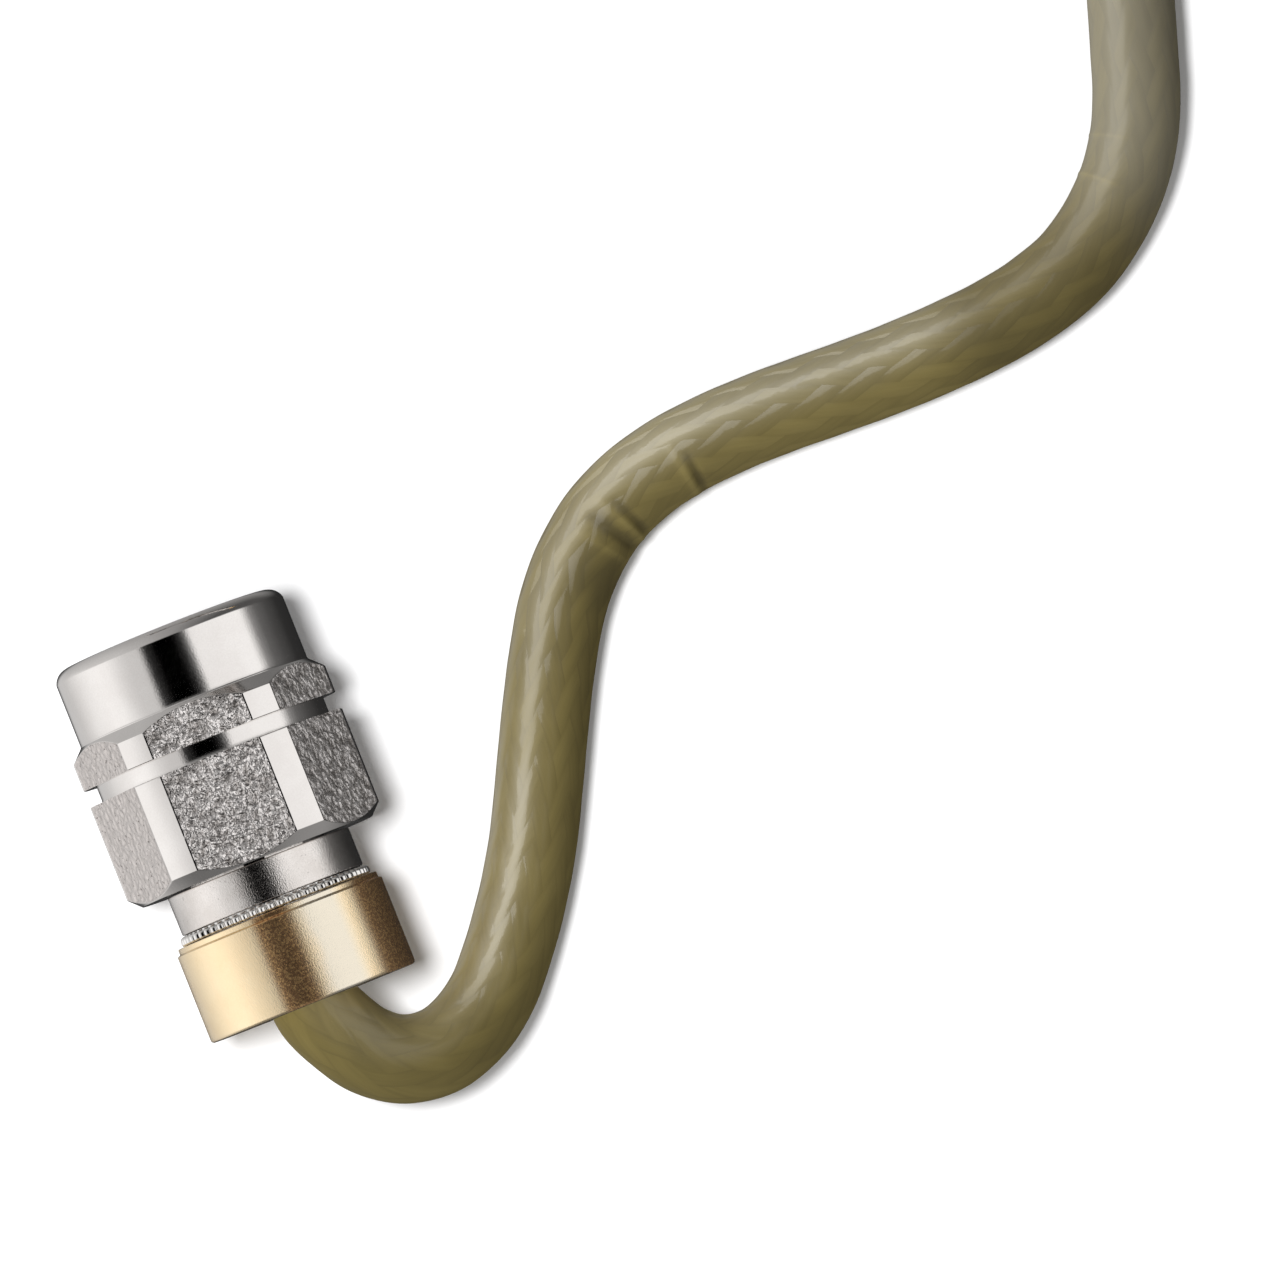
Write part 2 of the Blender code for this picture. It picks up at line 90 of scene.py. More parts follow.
def through(points, step):
    """Evenly spaced points on a smooth curve through the route's points."""
    pts = [Vector(p) for p in points]
    pts = [2 * pts[0] - pts[1]] + pts + [2 * pts[-1] - pts[-2]]
    fine = []
    for a, b, c, d in zip(pts, pts[1:], pts[2:], pts[3:]):
        ta = 0.0
        tb = ta + (b - a).length ** 0.5
        tc = tb + (c - b).length ** 0.5
        td = tc + (d - c).length ** 0.5
        for i in range(16):
            t = tb + (tc - tb) * i / 16
            ab = a * ((tb - t) / (tb - ta)) + b * ((t - ta) / (tb - ta))
            bc = b * ((tc - t) / (tc - tb)) + c * ((t - tb) / (tc - tb))
            cd = c * ((td - t) / (td - tc)) + d * ((t - tc) / (td - tc))
            abc = ab * ((tc - t) / (tc - ta)) + bc * ((t - ta) / (tc - ta))
            bcd = bc * ((td - t) / (td - tb)) + cd * ((t - tb) / (td - tb))
            fine.append(abc * ((tc - t) / (tc - tb)) + bcd * ((t - tb) / (tc - tb)))
    fine.append(pts[-2])
    out, left = [fine[0]], step
    for p, q in zip(fine, fine[1:]):
        seg = (q - p).length
        at = 0.0
        while seg - at >= left:
            at += left
            out.append(p.lerp(q, at / seg))
            left = step
        left -= seg - at
    if (out[-1] - fine[-1]).length > 0.3 * step:
        out.append(fine[-1])
    else:
        out[-1] = fine[-1]
    return out


def cable_route():
    """The same route as the construction's: a tight bend out of the coupling,
    back past it, over a rise and a fall, once round a loop that lies on the
    floor, and on to the plunger."""
    plan = [
        (0.0, 0.75), (0.08, -0.3), (0.7, -1.7), (1.5, -2.9), (2.8, -3.85), (4.5, -4.12),
        (6.17, -3.62), (7.64, -2.63), (8.9, -1.27), (10.5, 0.82), (11.94, 3.08), (13.22, 5.5),
        (14.44, 7.88), (15.74, 10.28), (17.2, 12.6), (18.6, 14.18), (20.4, 15.58),
        (22.4, 16.48), (24.5, 16.98), (26.9, 17.2), (29.4, 17.22), (32.1, 17.12),
        (34.8, 17.04), (37.6, 17.08), (40.3, 17.28), (42.42, 17.66), (44.58, 18.38),
        (46.5, 19.6), (48.1, 21.11), (49.32, 22.84), (50.12, 24.55), (50.8, 26.55),
    ]
    lean = math.radians(21.8)
    along = Vector((math.sin(lean), math.cos(lean), 0))
    across = Vector((math.cos(lean), -math.sin(lean), 0))
    loop_r = 21.0
    start = Vector((58.72, 47.66, 0))
    loop = start + loop_r * across
    lie, over = CABLE_R + 0.03, 3 * CABLE_R + 0.2
    plunger_x, plunger_y, plunger_z = 44.0, 61.4, 5.4
    route, gone, last = [], 0.0, None
    for x, y in plan:
        if last is not None:
            gone += math.hypot(x - last[0], y - last[1])
        last = (x, y)
        z = AXIS_Z + (lie - AXIS_Z) * smooth((gone - 0.8) / 14.0)
        k = (455.65 - z) / 450.0
        route.append(Vector((19.7 + (x - 19.7) * k, -3.3 + (y + 3.3) * k, z)))
    for i in (2, 3, 4, 5):
        p = start - along * (20.0 * (1 - i / 5))
        route.append(Vector((p.x, p.y, lie)))
    for i in range(1, 25):
        a = math.pi - lean - math.tau * i / 24
        climb = smooth((i / 24 - 0.70) / 0.20)
        route.append(Vector((loop.x + loop_r * math.cos(a), loop.y + loop_r * math.sin(a),
                             lie + (over - lie) * climb)))
    bend_r = 10.0
    centre = start - bend_r * across
    for i in range(1, 7):
        a = -lean + (math.pi / 2 + lean) * i / 6
        x = centre.x + bend_r * math.cos(a)
        y = centre.y + ((plunger_y - centre.y) if a > 0 else bend_r) * math.sin(a)
        t = max(i / 7 - 0.36, 0) / 0.64
        z = over + (plunger_z - over) * t - 2.3 * math.sin(math.pi * t) ** 1.2
        route.append(Vector((x, y, z)))
    route += [Vector((plunger_x + 2.2, plunger_y, plunger_z - 0.25)),
              Vector((plunger_x - 0.75, plunger_y, plunger_z))]
    return [p - Vector((ORIGIN_X, ORIGIN_Y, 0)) for p in route]


# ================================================================ mesh helpers
def new_mesh_object(name, verts, faces, smooth_angle=32.0, slots=None, tri_fans=()):
    """Vertices in millimetres. Faces are turned to point outwards."""
    verts = np.asarray(verts, float)
    polys = [list(map(int, f)) for f in faces] + [list(f) for f in tri_fans]
    vol = 0.0
    quad = np.asarray(faces, int)
    if len(quad):
        a, b, c, d = (verts[quad[:, k]] for k in range(4))
        vol += float(np.einsum("ij,ij->i", a, np.cross(b, c)).sum())
        vol += float(np.einsum("ij,ij->i", a, np.cross(c, d)).sum())
    for f in tri_fans:
        vol += float(np.dot(verts[f[0]], np.cross(verts[f[1]], verts[f[2]])))
    if vol < 0:
        polys = [p[::-1] for p in polys]
    mesh = bpy.data.meshes.new(name)
    mesh.from_pydata((verts * MM).tolist(), [], polys)
    mesh.update()
    o = bpy.data.objects.new(name, mesh)
    bpy.context.scene.collection.objects.link(o)
    mesh.shade_smooth()
    if smooth_angle is not None:
        mesh.set_sharp_from_angle(angle=math.radians(smooth_angle))
    return o


def grid_faces(rows, cols, wrap_rows, wrap_cols):
    i, j = np.meshgrid(np.arange(rows if wrap_rows else rows - 1),
                       np.arange(cols if wrap_cols else cols - 1), indexing="ij")
    i2, j2 = (i + 1) % rows, (j + 1) % cols
    return np.stack([i * cols + j, i * cols + j2, i2 * cols + j2, i2 * cols + j],
                    -1).reshape(-1, 4)


def grid_object(name, P, wrap_rows=True, smooth_angle=32.0):
    """A closed body from a grid of points: columns go round, rows go along."""
    R, C, _ = P.shape
    verts = P.reshape(-1, 3)
    faces = grid_faces(R, C, wrap_rows, True)
    fans = []
    if not wrap_rows:
        verts = np.vstack([verts, P[0].mean(0), P[-1].mean(0)])
        first, last = R * C, R * C + 1
        for j in range(C):
            k = (j + 1) % C
            fans.append((first, k, j))
            fans.append((last, (R - 1) * C + j, (R - 1) * C + k))
    return new_mesh_object(name, verts, faces, smooth_angle, tri_fans=fans)


def rounded(points, fillet=0.05, arc=4, closed=True, special=None):
    """Rounds the corners of a profile, with a short straight piece on each side
    of every arc so that the smooth shading stays true."""
    special = special or {}
    out = []
    n = len(points)
    for i, p in enumerate(points):
        p = np.array(p, float)
        if not closed and i in (0, n - 1):
            out.append(tuple(p))
            continue
        a, b = np.array(points[i - 1], float), np.array(points[(i + 1) % n], float)
        da, db = a - p, b - p
        la, lb = np.linalg.norm(da), np.linalg.norm(db)
        da, db = da / la, db / lb
        turn = math.acos(max(-1.0, min(1.0, float(np.dot(da, db)))))
        f = special.get(i, fillet)
        if f <= 0 or turn > math.radians(176):
            out.append(tuple(p))
            continue
        cut = f / math.tan(turn / 2)
        cut = min(cut, 0.36 * la, 0.36 * lb)
        f = cut * math.tan(turn / 2)
        centre = p + (da + db) / np.linalg.norm(da + db) * (f / math.sin(turn / 2))
        s, e = p + da * cut, p + db * cut
        v0, v1 = s - centre, e - centre
        sweep = math.pi - turn
        out.append(tuple(p + da * min(cut * 1.35, 0.48 * la)))
        for k in range(arc + 1):
            w = k / arc
            v = (math.sin((1 - w) * sweep) * v0 + math.sin(w * sweep) * v1) / math.sin(sweep)
            out.append(tuple(centre + v))
        out.append(tuple(p + db * min(cut * 1.35, 0.48 * lb)))
    return out


def along_y(r, a, h):
    """Round the coupling's axis: angle a is measured from straight up."""
    return np.stack([AXIS_X + r * np.sin(a), h - ORIGIN_Y, AXIS_Z + r * np.cos(a)], -1)


def along_x(r, a, s):
    """Round the plunger's axis."""
    return np.stack([PLUNGER_X - s, PLUNGER_Y + r * np.sin(a), PLUNGER_Z + r * np.cos(a)], -1)


def along_z(r, a, h):
    """Round the lock screw's axis; h is the height over the plunger's axis."""
    return np.stack([SCREW_X + r * np.cos(a), PLUNGER_Y + r * np.sin(a), PLUNGER_Z + h], -1)


def turned(name, profile, place, steps=160, smooth_angle=32.0):
    """A profile of (radius, height), closed, or open with both ends on the axis."""
    on_axis = profile[0][0] < 1e-9
    prof = [p for p in profile if p[0] > 1e-9] if on_axis else profile
    r = np.array([p[0] for p in prof])[:, None]
    h = np.array([p[1] for p in prof])[:, None]
    a = (np.arange(steps) * math.tau / steps)[None, :]
    r, h, a = np.broadcast_arrays(r, h, a)
    P = place(r, a, h)
    return grid_object(name, P, wrap_rows=not on_axis, smooth_angle=smooth_angle)


def mark_sharp(o, angle):
    """Sharp edges where two finishes meet, and at the turned corners."""
    bm = bmesh.new()
    bm.from_mesh(o.data)
    limit = math.radians(angle)
    for e in bm.edges:
        if len(e.link_faces) != 2:
            continue
        f, g = e.link_faces
        if f.material_index != g.material_index:
            e.smooth = False
        elif f.material_index == 0 and f.normal.angle(g.normal, 0) > limit:
            e.smooth = False
        else:
            e.smooth = True
    bm.to_mesh(o.data)
    bm.free()


# ============================================================ shader expressions
class Expr:
    """Arithmetic on shader sockets."""
    tree = None

    def __init__(self, v):
        self.v = v

    @staticmethod
    def op(kind, *args, clamp=False):
        n = Expr.tree.nodes.new("ShaderNodeMath")
        n.operation = kind
        n.use_clamp = clamp
        for k, a in enumerate(args):
            a = a.v if isinstance(a, Expr) else a
            if isinstance(a, (int, float)):
                n.inputs[k].default_value = a
            else:
                Expr.tree.links.new(a, n.inputs[k])
        return Expr(n.outputs[0])

    def __add__(self, o): return Expr.op("ADD", self, o)
    def __radd__(self, o): return Expr.op("ADD", self, o)
    def __sub__(self, o): return Expr.op("SUBTRACT", self, o)
    def __rsub__(self, o): return Expr.op("SUBTRACT", o, self)
    def __mul__(self, o): return Expr.op("MULTIPLY", self, o)
    def __rmul__(self, o): return Expr.op("MULTIPLY", self, o)
    def __truediv__(self, o): return Expr.op("DIVIDE", self, o)

    def abs(self): return Expr.op("ABSOLUTE", self)
    def round(self): return Expr.op("ROUND", self)
    def less(self, o): return Expr.op("LESS_THAN", self, o)
    def mod(self, o): return Expr.op("FLOORED_MODULO", self, o)
    def cos(self): return Expr.op("COSINE", self)
    def sin(self): return Expr.op("SINE", self)
    def pow(self, o): return Expr.op("POWER", self, o)
    def max(self, o): return Expr.op("MAXIMUM", self, o)
    def min(self, o): return Expr.op("MINIMUM", self, o)

    def step(self, a, b):
        """Smoothly 0 at a and 1 at b."""
        n = Expr.tree.nodes.new("ShaderNodeMapRange")
        n.interpolation_type = "SMOOTHSTEP"
        Expr.tree.links.new(self.v, n.inputs[0])
        n.inputs[1].default_value, n.inputs[2].default_value = a, b
        n.inputs[3].default_value, n.inputs[4].default_value = 0, 1
        return Expr(n.outputs[0])

    def span(self, a, b, lo, hi):
        n = Expr.tree.nodes.new("ShaderNodeMapRange")
        Expr.tree.links.new(self.v, n.inputs[0])
        for k, v in enumerate((a, b, lo, hi)):
            n.inputs[1 + k].default_value = v
        return Expr(n.outputs[0])


def new_material(name):
    m = bpy.data.materials.new(name)
    m.use_nodes = True
    Expr.tree = m.node_tree
    return m, m.node_tree, m.node_tree.nodes["Principled BSDF"]


def position(nt, stretch=(1, 1, 1)):
    """The piece's own coordinates in millimetres, stretched along the axes."""
    tc = nt.nodes.new("ShaderNodeTexCoord")
    v = nt.nodes.new("ShaderNodeVectorMath")
    v.operation = "MULTIPLY"
    nt.links.new(tc.outputs["Object"], v.inputs[0])
    v.inputs[1].default_value = tuple(1000.0 * s for s in stretch)
    return v.outputs[0]


def grains(nt, vector, scale, detail=2.0, rough=0.5, distortion=0.0):
    n = nt.nodes.new("ShaderNodeTexNoise")
    nt.links.new(vector, n.inputs["Vector"])
    n.inputs["Scale"].default_value = scale
    n.inputs["Detail"].default_value = detail
    n.inputs["Roughness"].default_value = rough
    n.inputs["Distortion"].default_value = distortion
    return Expr(n.outputs["Fac"])


def cells(nt, vector, scale, feature="F1", randomness=1.0):
    n = nt.nodes.new("ShaderNodeTexVoronoi")
    n.feature = feature
    nt.links.new(vector, n.inputs["Vector"])
    n.inputs["Scale"].default_value = scale
    n.inputs["Randomness"].default_value = randomness
    return Expr(n.outputs["Distance"])


def mix_colour(nt, fac, a, b):
    n = nt.nodes.new("ShaderNodeMix")
    n.data_type = "RGBA"
    nt.links.new(fac.v, n.inputs[0])
    for k, c in ((6, a), (7, b)):
        if isinstance(c, tuple):
            n.inputs[k].default_value = (*c, 1)
        else:
            nt.links.new(c, n.inputs[k])
    return n.outputs[2]


def bump(nt, height, strength, distance, after=None):
    n = nt.nodes.new("ShaderNodeBump")
    n.inputs["Strength"].default_value = strength
    n.inputs["Distance"].default_value = distance
    nt.links.new(height.v, n.inputs["Height"])
    if after is not None:
        nt.links.new(after, n.inputs["Normal"])
    return n.outputs["Normal"]


def turned_metal(name, light, dark, rough=(0.14, 0.26), axis="y", lines=0.35,
                 grain=0.4, spots=0.0, pale=None, coarse=0.000006, size=11.0):
    """Turned metal: fine lines round the axis, a fine grain, and slightly
    darker cloudy patches."""
    m, nt, b = new_material(name)
    st = {"x": (9.0, 0.22, 0.22), "y": (0.22, 9.0, 0.22), "z": (0.22, 0.22, 9.0)}[axis]
    line = grains(nt, position(nt, st), 1.0, detail=3.0, rough=0.6)
    fine = grains(nt, position(nt), size, detail=2.0, rough=0.55)
    cloud = grains(nt, position(nt), 0.55, detail=3.0, rough=0.55)
    tone = (cloud * 0.65 + fine * 0.35).step(0.30, 0.72)
    colour = mix_colour(nt, tone, dark, light)
    if spots:
        speck = grains(nt, position(nt), 5.2, detail=1.0).step(0.70, 0.76) * spots
        colour = mix_colour(nt, speck, colour, tuple(0.35 * c for c in dark))
    if pale:
        # Painted highlight: paler on one side, where the white screen on the right is mirrored.
        side = nt.nodes.new("ShaderNodeSeparateXYZ")
        nt.links.new(position(nt), side.inputs[0])
        pale_highlight_side = (Expr(side.outputs[0]) + (cloud - 0.5) * 0.8).step(AXIS_X + 0.6, AXIS_X + 1.6)
        pale_highlight_side = pale_highlight_side * (1.0 - Expr(side.outputs[0]).step(AXIS_X + 2.6, AXIS_X + 3.3))
        across, high = Expr(side.outputs[0]) - AXIS_X, Expr(side.outputs[2]) - AXIS_Z
        # Only on the round outside, not on the end face.
        outside = (across * across + high * high).pow(0.5).step(4.50, 4.75)
        colour = mix_colour(nt, pale_highlight_side * outside, colour, pale)
        # Painted reflection: brown, speckled and less metallic where the dark gap over the camera and
        # the dark ground on the right are mirrored.
        dark_reflection_band = across.step(-1.25, -0.75) * (1.0 - across.step(0.3, 1.0)) + across.step(3.45, 4.0)
        dark_reflection_band = dark_reflection_band * outside
        dots = grains(nt, position(nt), 9.0, detail=1.0).step(0.44, 0.62)
        dark_band_colour = mix_colour(nt, dots, (0.50, 0.25, 0.10), (0.98, 0.58, 0.24))
        colour = mix_colour(nt, dark_reflection_band * 0.85, colour, dark_band_colour)
        nt.links.new((1.0 - dark_reflection_band * 0.22).v, b.inputs["Metallic"])
    nt.links.new(colour, b.inputs["Base Color"])
    if not pale:
        b.inputs["Metallic"].default_value = 1.0
    r = (line * 0.45 + cloud * 0.25 + fine * 0.3).span(0.3, 0.7, rough[0], rough[1])
    nt.links.new(r.v, b.inputs["Roughness"])
    n1 = bump(nt, line, lines, 0.000006)
    n2 = bump(nt, fine, grain, coarse, n1)
    nt.links.new(n2, b.inputs["Normal"])
    return m


def blasted_metal(name):
    """Cast, blasted metal: pebbled at about a sixth of a millimetre."""
    m, nt, b = new_material(name)
    p = position(nt)
    big = grains(nt, p, 2.0, detail=1.0, rough=0.5, distortion=0.5)
    mid = grains(nt, p, 3.2, detail=1.0, rough=0.5, distortion=0.4)
    fine = grains(nt, p, 13.0, detail=1.0, rough=0.5)
    tone = (big * 0.35 + mid * 0.40 + fine * 0.25).step(0.36, 0.60)
    colour = mix_colour(nt, tone, (0.42, 0.39, 0.37), (0.92, 0.88, 0.86))
    # The flat on the left gets a smooth, speckled colour, more roughness and little relief; the one
    # across from it on the right is less metallic and rougher.
    at = nt.nodes.new("ShaderNodeSeparateXYZ")
    nt.links.new(p, at.inputs[0])
    across = Expr(at.outputs[0]) - AXIS_X
    calm = 1.0 - across.step(-3.35, -3.05)
    dull = across.step(3.05, 3.35)
    specks = grains(nt, p, 6.5, detail=1.0).step(0.66, 0.72)
    smooth = mix_colour(nt, specks, (0.62, 0.575, 0.55), (0.20, 0.17, 0.16))
    colour = mix_colour(nt, calm * 0.9, colour, smooth)
    nt.links.new(colour, b.inputs["Base Color"])
    nt.links.new((1.0 - dull * 0.25).v, b.inputs["Metallic"])
    r = fine.span(0.3, 0.7, 0.10, 0.22) + dull * 0.30 + calm * 0.12
    nt.links.new(r.v, b.inputs["Roughness"])
    h = (big * 0.75 + mid * 0.55 + fine * 0.10) * (1.0 - calm * 0.85)
    nt.links.new(bump(nt, h, 1.0, 0.00044), b.inputs["Normal"])
    return m


YARNS, PITCH = 16, 2.35
JACKET = ((0.105, 0.081, 0.021), (0.182, 0.142, 0.038), (0.262, 0.208, 0.064))


def jacket_material():
    """Olive braid of sixteen yarns each way, seen through a clear coat. The
    coat sits on the side turned towards the panel light and is weaker beyond the
    last bend, which paints a sheen on that side only."""
    m, nt, b = new_material("olive_jacket")
    uv = nt.nodes.new("ShaderNodeUVMap")
    uv.uv_map = "braid"
    sep = nt.nodes.new("ShaderNodeSeparateXYZ")
    nt.links.new(uv.outputs[0], sep.inputs[0])
    p = position(nt)
    wobble = grains(nt, p, 0.35, detail=1.0) - 0.5
    wobble2 = grains(nt, position(nt, (1.0, 1.0, 1.4)), 0.31, detail=1.0) - 0.5
    gone = Expr(sep.outputs[0]) * PITCH          # millimetres along the cable
    t = Expr(sep.outputs[0]) + wobble * 0.5
    a = Expr(sep.outputs[1]) + wobble2 * 0.6
    A, B = t - a, t + a
    i, j = A.round(), B.round()
    fa, fb = (A - i).abs(), (B - j).abs()
    over = (i - j).mod(4.0).less(1.5)            # the right-hand yarn is on top
    under = 1.0 - over
    da = ((B - i + 0.5) + 2.0).mod(4.0) - 2.0
    db = ((A - j - 2.5) + 2.0).mod(4.0) - 2.0
    f = over * fa + under * fb
    d = over * da + under * db
    crown = (1.0 - (f * 1.9).pow(2.0)).max(0.0) * (d * 1.35).cos().max(0.0)
    # Fibres run along whichever yarn is on top.
    def fibre(x, y, k):
        n = nt.nodes.new("ShaderNodeCombineXYZ")
        for q, s in enumerate((x, y, k)):
            nt.links.new(s.v, n.inputs[q])
        return n.outputs[0]
    ga = grains(nt, fibre(A * 5.0, B * 0.55, i * 3.1), 1.0, detail=2.0, rough=0.6)
    gb = grains(nt, fibre(B * 5.0, A * 0.55, j * 3.7), 1.0, detail=2.0, rough=0.6)
    fibres = over * ga + under * gb
    tone_each = (over * 0.04 + under * -0.04) * (gone.step(20.0, 30.0) * 0.9 + 1.0)
    patch = grains(nt, p, 0.32, detail=2.0, rough=0.5)
    edge = f.step(0.30, 0.52)
    value = (crown * 0.07 + (fibres - 0.5) * 0.22 + tone_each + (patch - 0.5) * 0.40
             - edge * 0.05 + 0.44)
    # Painted shade in the creases and painted highlights on their ridges, from the mesh's attribute.
    crease_shade_and_highlight = nt.nodes.new("ShaderNodeAttribute")
    crease_shade_and_highlight.attribute_name = "crease_shade_and_highlight"
    # Painted shade: the colour is darkened beyond 50 mm, over the first 9 to 14 mm and between 22 and
    # 36 mm along the cable.
    painted_shade_by_stretch = (gone.step(50.0, 54.0) * 0.40 + (1.0 - gone.step(9.0, 14.0)) * 0.12
                + (gone.step(22.0, 27.0) - gone.step(32.0, 36.0)) * 0.18)
    value = (value - Expr(crease_shade_and_highlight.outputs["Fac"]) * 0.75 - painted_shade_by_stretch).step(-0.25, 1.05)
    deep, mid, pale = JACKET
    low = mix_colour(nt, value.span(0.0, 0.5, 0.0, 1.0).min(1.0).max(0.0), deep, mid)
    colour = mix_colour(nt, value.span(0.5, 1.0, 0.0, 1.0).min(1.0).max(0.0), low, pale)
    # Painted sheen: the colour is mixed towards a pale grey on the side turned towards the panel light
    # in the slanting stretch, all round in the last stretch, and a little everywhere.
    up = (Expr(sep.outputs[1]) + gone.step(1.5, 9.5) * 1.68 + 8.0).mod(16.0) - 8.0
    painted_sheen = (gone.step(33.0, 38.0) * (1.0 - gone.step(50.0, 55.0)) * 0.06 + 0.02
             + gone.step(58.0, 66.0) * 0.12)
    painted_sheen = painted_sheen * (1.0 - up.step(-1.3, 1.5) * (1.0 - gone.step(58.0, 64.0))) + 0.028
    colour = mix_colour(nt, painted_sheen, colour, (0.80, 0.80, 0.76))
    nt.links.new(colour, b.inputs["Base Color"])
    r = fibres.span(0.3, 0.7, 0.36, 0.48)
    nt.links.new(r.v, b.inputs["Roughness"])
    # 0 on top, towards 4 on one side and -4 on the other.
    side = (Expr(sep.outputs[1]) + gone.step(1.5, 9.5) * 1.68 + 8.0).mod(16.0) - 8.0
    # Painted sheen: the coat, and the specular level set below, are kept to the side turned towards
    # the panel light, taken off the side turned away, and set stretch by stretch along the cable.
    coat = (1.0 - side.step(-0.3, 1.1)) * (0.60 - gone.step(20.0, 24.0) * 0.20
                                           + gone.step(33.0, 38.0) * 0.14
                                           - gone.step(50.0, 54.0) * 0.40
                                           - (1.0 - gone.step(9.0, 14.0)) * 0.25)
    coat = coat * (side.step(-4.0, -2.5) * 0.4 + 0.6)
    coat = coat * (1.0 - gone.step(50.0, 54.0) * (1.0 - side.step(-3.6, -2.0)) * 0.7)
    nt.links.new(coat.v, b.inputs["Coat Weight"])
    b.inputs["Coat IOR"].default_value = 1.6
    b.inputs["Coat Roughness"].default_value = 0.11
    sheen = (1.0 - side.step(-0.9, 1.2)) * (side.step(-4.0, -2.6) * 0.40 + 0.45) + 0.05
    sheen = sheen * (1.0 - gone.step(20.0, 24.0) * 0.30 + gone.step(33.0, 38.0) * 0.20
                     - (1.0 - gone.step(9.0, 14.0)) * 0.45
                     - gone.step(50.0, 54.0) * 0.60) + gone.step(58.5, 63.0) * 0.08
    nt.links.new(sheen.v, b.inputs["Specular IOR Level"])
    h = crown * 0.5 + fibres * 0.25
    nt.links.new(bump(nt, h, 0.25, 0.00004), b.inputs["Normal"])
    # The yarns lie closer under the coat in the long slanting stretch.
    near = gone.step(25.0, 32.0) * (1.0 - gone.step(55.0, 60.0)) * 0.65 + 0.35
    soft = grains(nt, position(nt, (1.0, 1.0, 1.0)), 1.1, detail=1.5)
    lean = over * (A - i) + under * (B - j)      # each yarn leans its own way
    ch = crown * near + soft * 1.0 + fibres * 0.12 + lean * (near * 4.2 - 0.9)
    nt.links.new(bump(nt, ch, 1.0, 0.000042), b.inputs["Coat Normal"])
    return m


def rubber_material():
    m, nt, b = new_material("black_rubber")
    g = grains(nt, position(nt), 6.0, detail=3.0)
    nt.links.new(mix_colour(nt, g.step(0.3, 0.7), (0.015, 0.015, 0.016), (0.040, 0.039, 0.037)),
                 b.inputs["Base Color"])
    nt.links.new(g.span(0.3, 0.7, 0.55, 0.75).v, b.inputs["Roughness"])
    nt.links.new(bump(nt, g, 0.3, 0.00003), b.inputs["Normal"])
    return m


STEEL_L, STEEL_D = (0.815, 0.785, 0.76), (0.75, 0.715, 0.69)
MAT = {
    "satin_y": turned_metal("satin_steel_coupling", STEEL_L, STEEL_D, (0.07, 0.13), "y", 0.30, 0.35),
    "satin_x": turned_metal("satin_steel_plunger", STEEL_L, STEEL_D, (0.13, 0.24), "x", 0.30, 0.30),
    "satin_z": turned_metal("satin_steel_screw", STEEL_L, STEEL_D, (0.13, 0.24), "z", 0.20, 0.30),
    "grainy_y": turned_metal("satin_steel_neck", (0.83, 0.79, 0.76), (0.68, 0.635, 0.60),
                             (0.10, 0.18), "y", 0.20, 1.0, spots=0.35, coarse=0.000012,
                             size=16.0),
    "bright": turned_metal("bright_steel", (0.90, 0.88, 0.86), (0.78, 0.76, 0.73),
                           (0.06, 0.16), "y", 0.15, 0.2),
    "bright_x": turned_metal("bright_steel_rod", (0.90, 0.88, 0.86), (0.78, 0.76, 0.73),
                             (0.06, 0.16), "x", 0.15, 0.2),
    "gold_y": turned_metal("gilt_brass_end", (1.0, 0.82, 0.55), (0.97, 0.76, 0.48),
                           (0.19, 0.26), "y", 0.12, 1.0, pale=(0.84, 0.765, 0.63),
                           coarse=0.000011, size=16.0),
    "gold_x": turned_metal("gilt_brass_ferrule", (1.0, 0.74, 0.43), (0.97, 0.66, 0.34),
                           (0.16, 0.24), "x", 0.15, 0.8, coarse=0.00001),
    "brass_y": turned_metal("brass_guide", (0.90, 0.69, 0.36), (0.66, 0.46, 0.20),
                            (0.20, 0.34), "y", 0.3, 0.4, spots=0.3),
    "brass_x": turned_metal("brass_plunger", (0.90, 0.69, 0.36), (0.66, 0.46, 0.20),
                            (0.20, 0.34), "x", 0.3, 0.4, spots=0.3),
    "blasted": blasted_metal("blasted_steel"),
    "jacket": jacket_material(),
    "rubber": rubber_material(),
}


def finish_piece(o, body, mats, nodes=()):
    o.data.materials.clear()
    for m in mats:
        o.data.materials.append(MAT[m])
    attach(o, body)
    if nodes:
        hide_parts(*nodes)
    return o


# ======================================================================= cable
def braid_height(t, a):
    """Height of the braid from 0 to 1 at t pitches along and a yarns round."""
    A, B = t - a, t + a
    i, j = np.round(A), np.round(B)
    over = ((i - j) % 4) < 1.5
    da = ((B - i + 0.5) + 2) % 4 - 2
    db = ((A - j - 2.5) + 2) % 4 - 2
    f = np.where(over, np.abs(A - i), np.abs(B - j))
    d = np.where(over, da, db)
    return np.clip(1 - (f * 1.9) ** 2, 0, 1) * np.clip(np.cos(d * 1.35), 0, 1)


# Creases pressed into the inner side of bends: picture x, y of the crease,
# depth, width along the cable and how far round it reaches.
def picture_to_row(px, py):
    c, s = math.cos(math.radians(21.8)), math.sin(math.radians(21.8))
    return (((px - 313.9) * c + (1003.2 - py) * s) / 22 + AXIS_X,
            (-(px - 313.9) * s + (1003.2 - py) * c) / 22 - ORIGIN_Y)


# The last value paints shade into the crease where positive and a highlight along its ridge where
# negative.
CREASES = [
    (613, 530, -0.15, 0.30, 60, 1.0), (624, 519, 0.08, 0.18, 66, -0.4),
    (633, 514, -0.10, 0.22, 52, 0.7), (604, 545, 0.05, 0.20, 60, -0.3),
    (687, 470, 0.07, 0.18, 62, -0.4), (697, 471, -0.12, 0.19, 50, 0.9),
    # No crease here, only painted shade over the inner side of the bend.
    (597, 578, 0.0, 1.3, 62, 0.55),
    (1094, 172, 0.05, 0.13, 60, -0.4), (1102, 131, 0.04, 0.12, 55, -0.3),
]


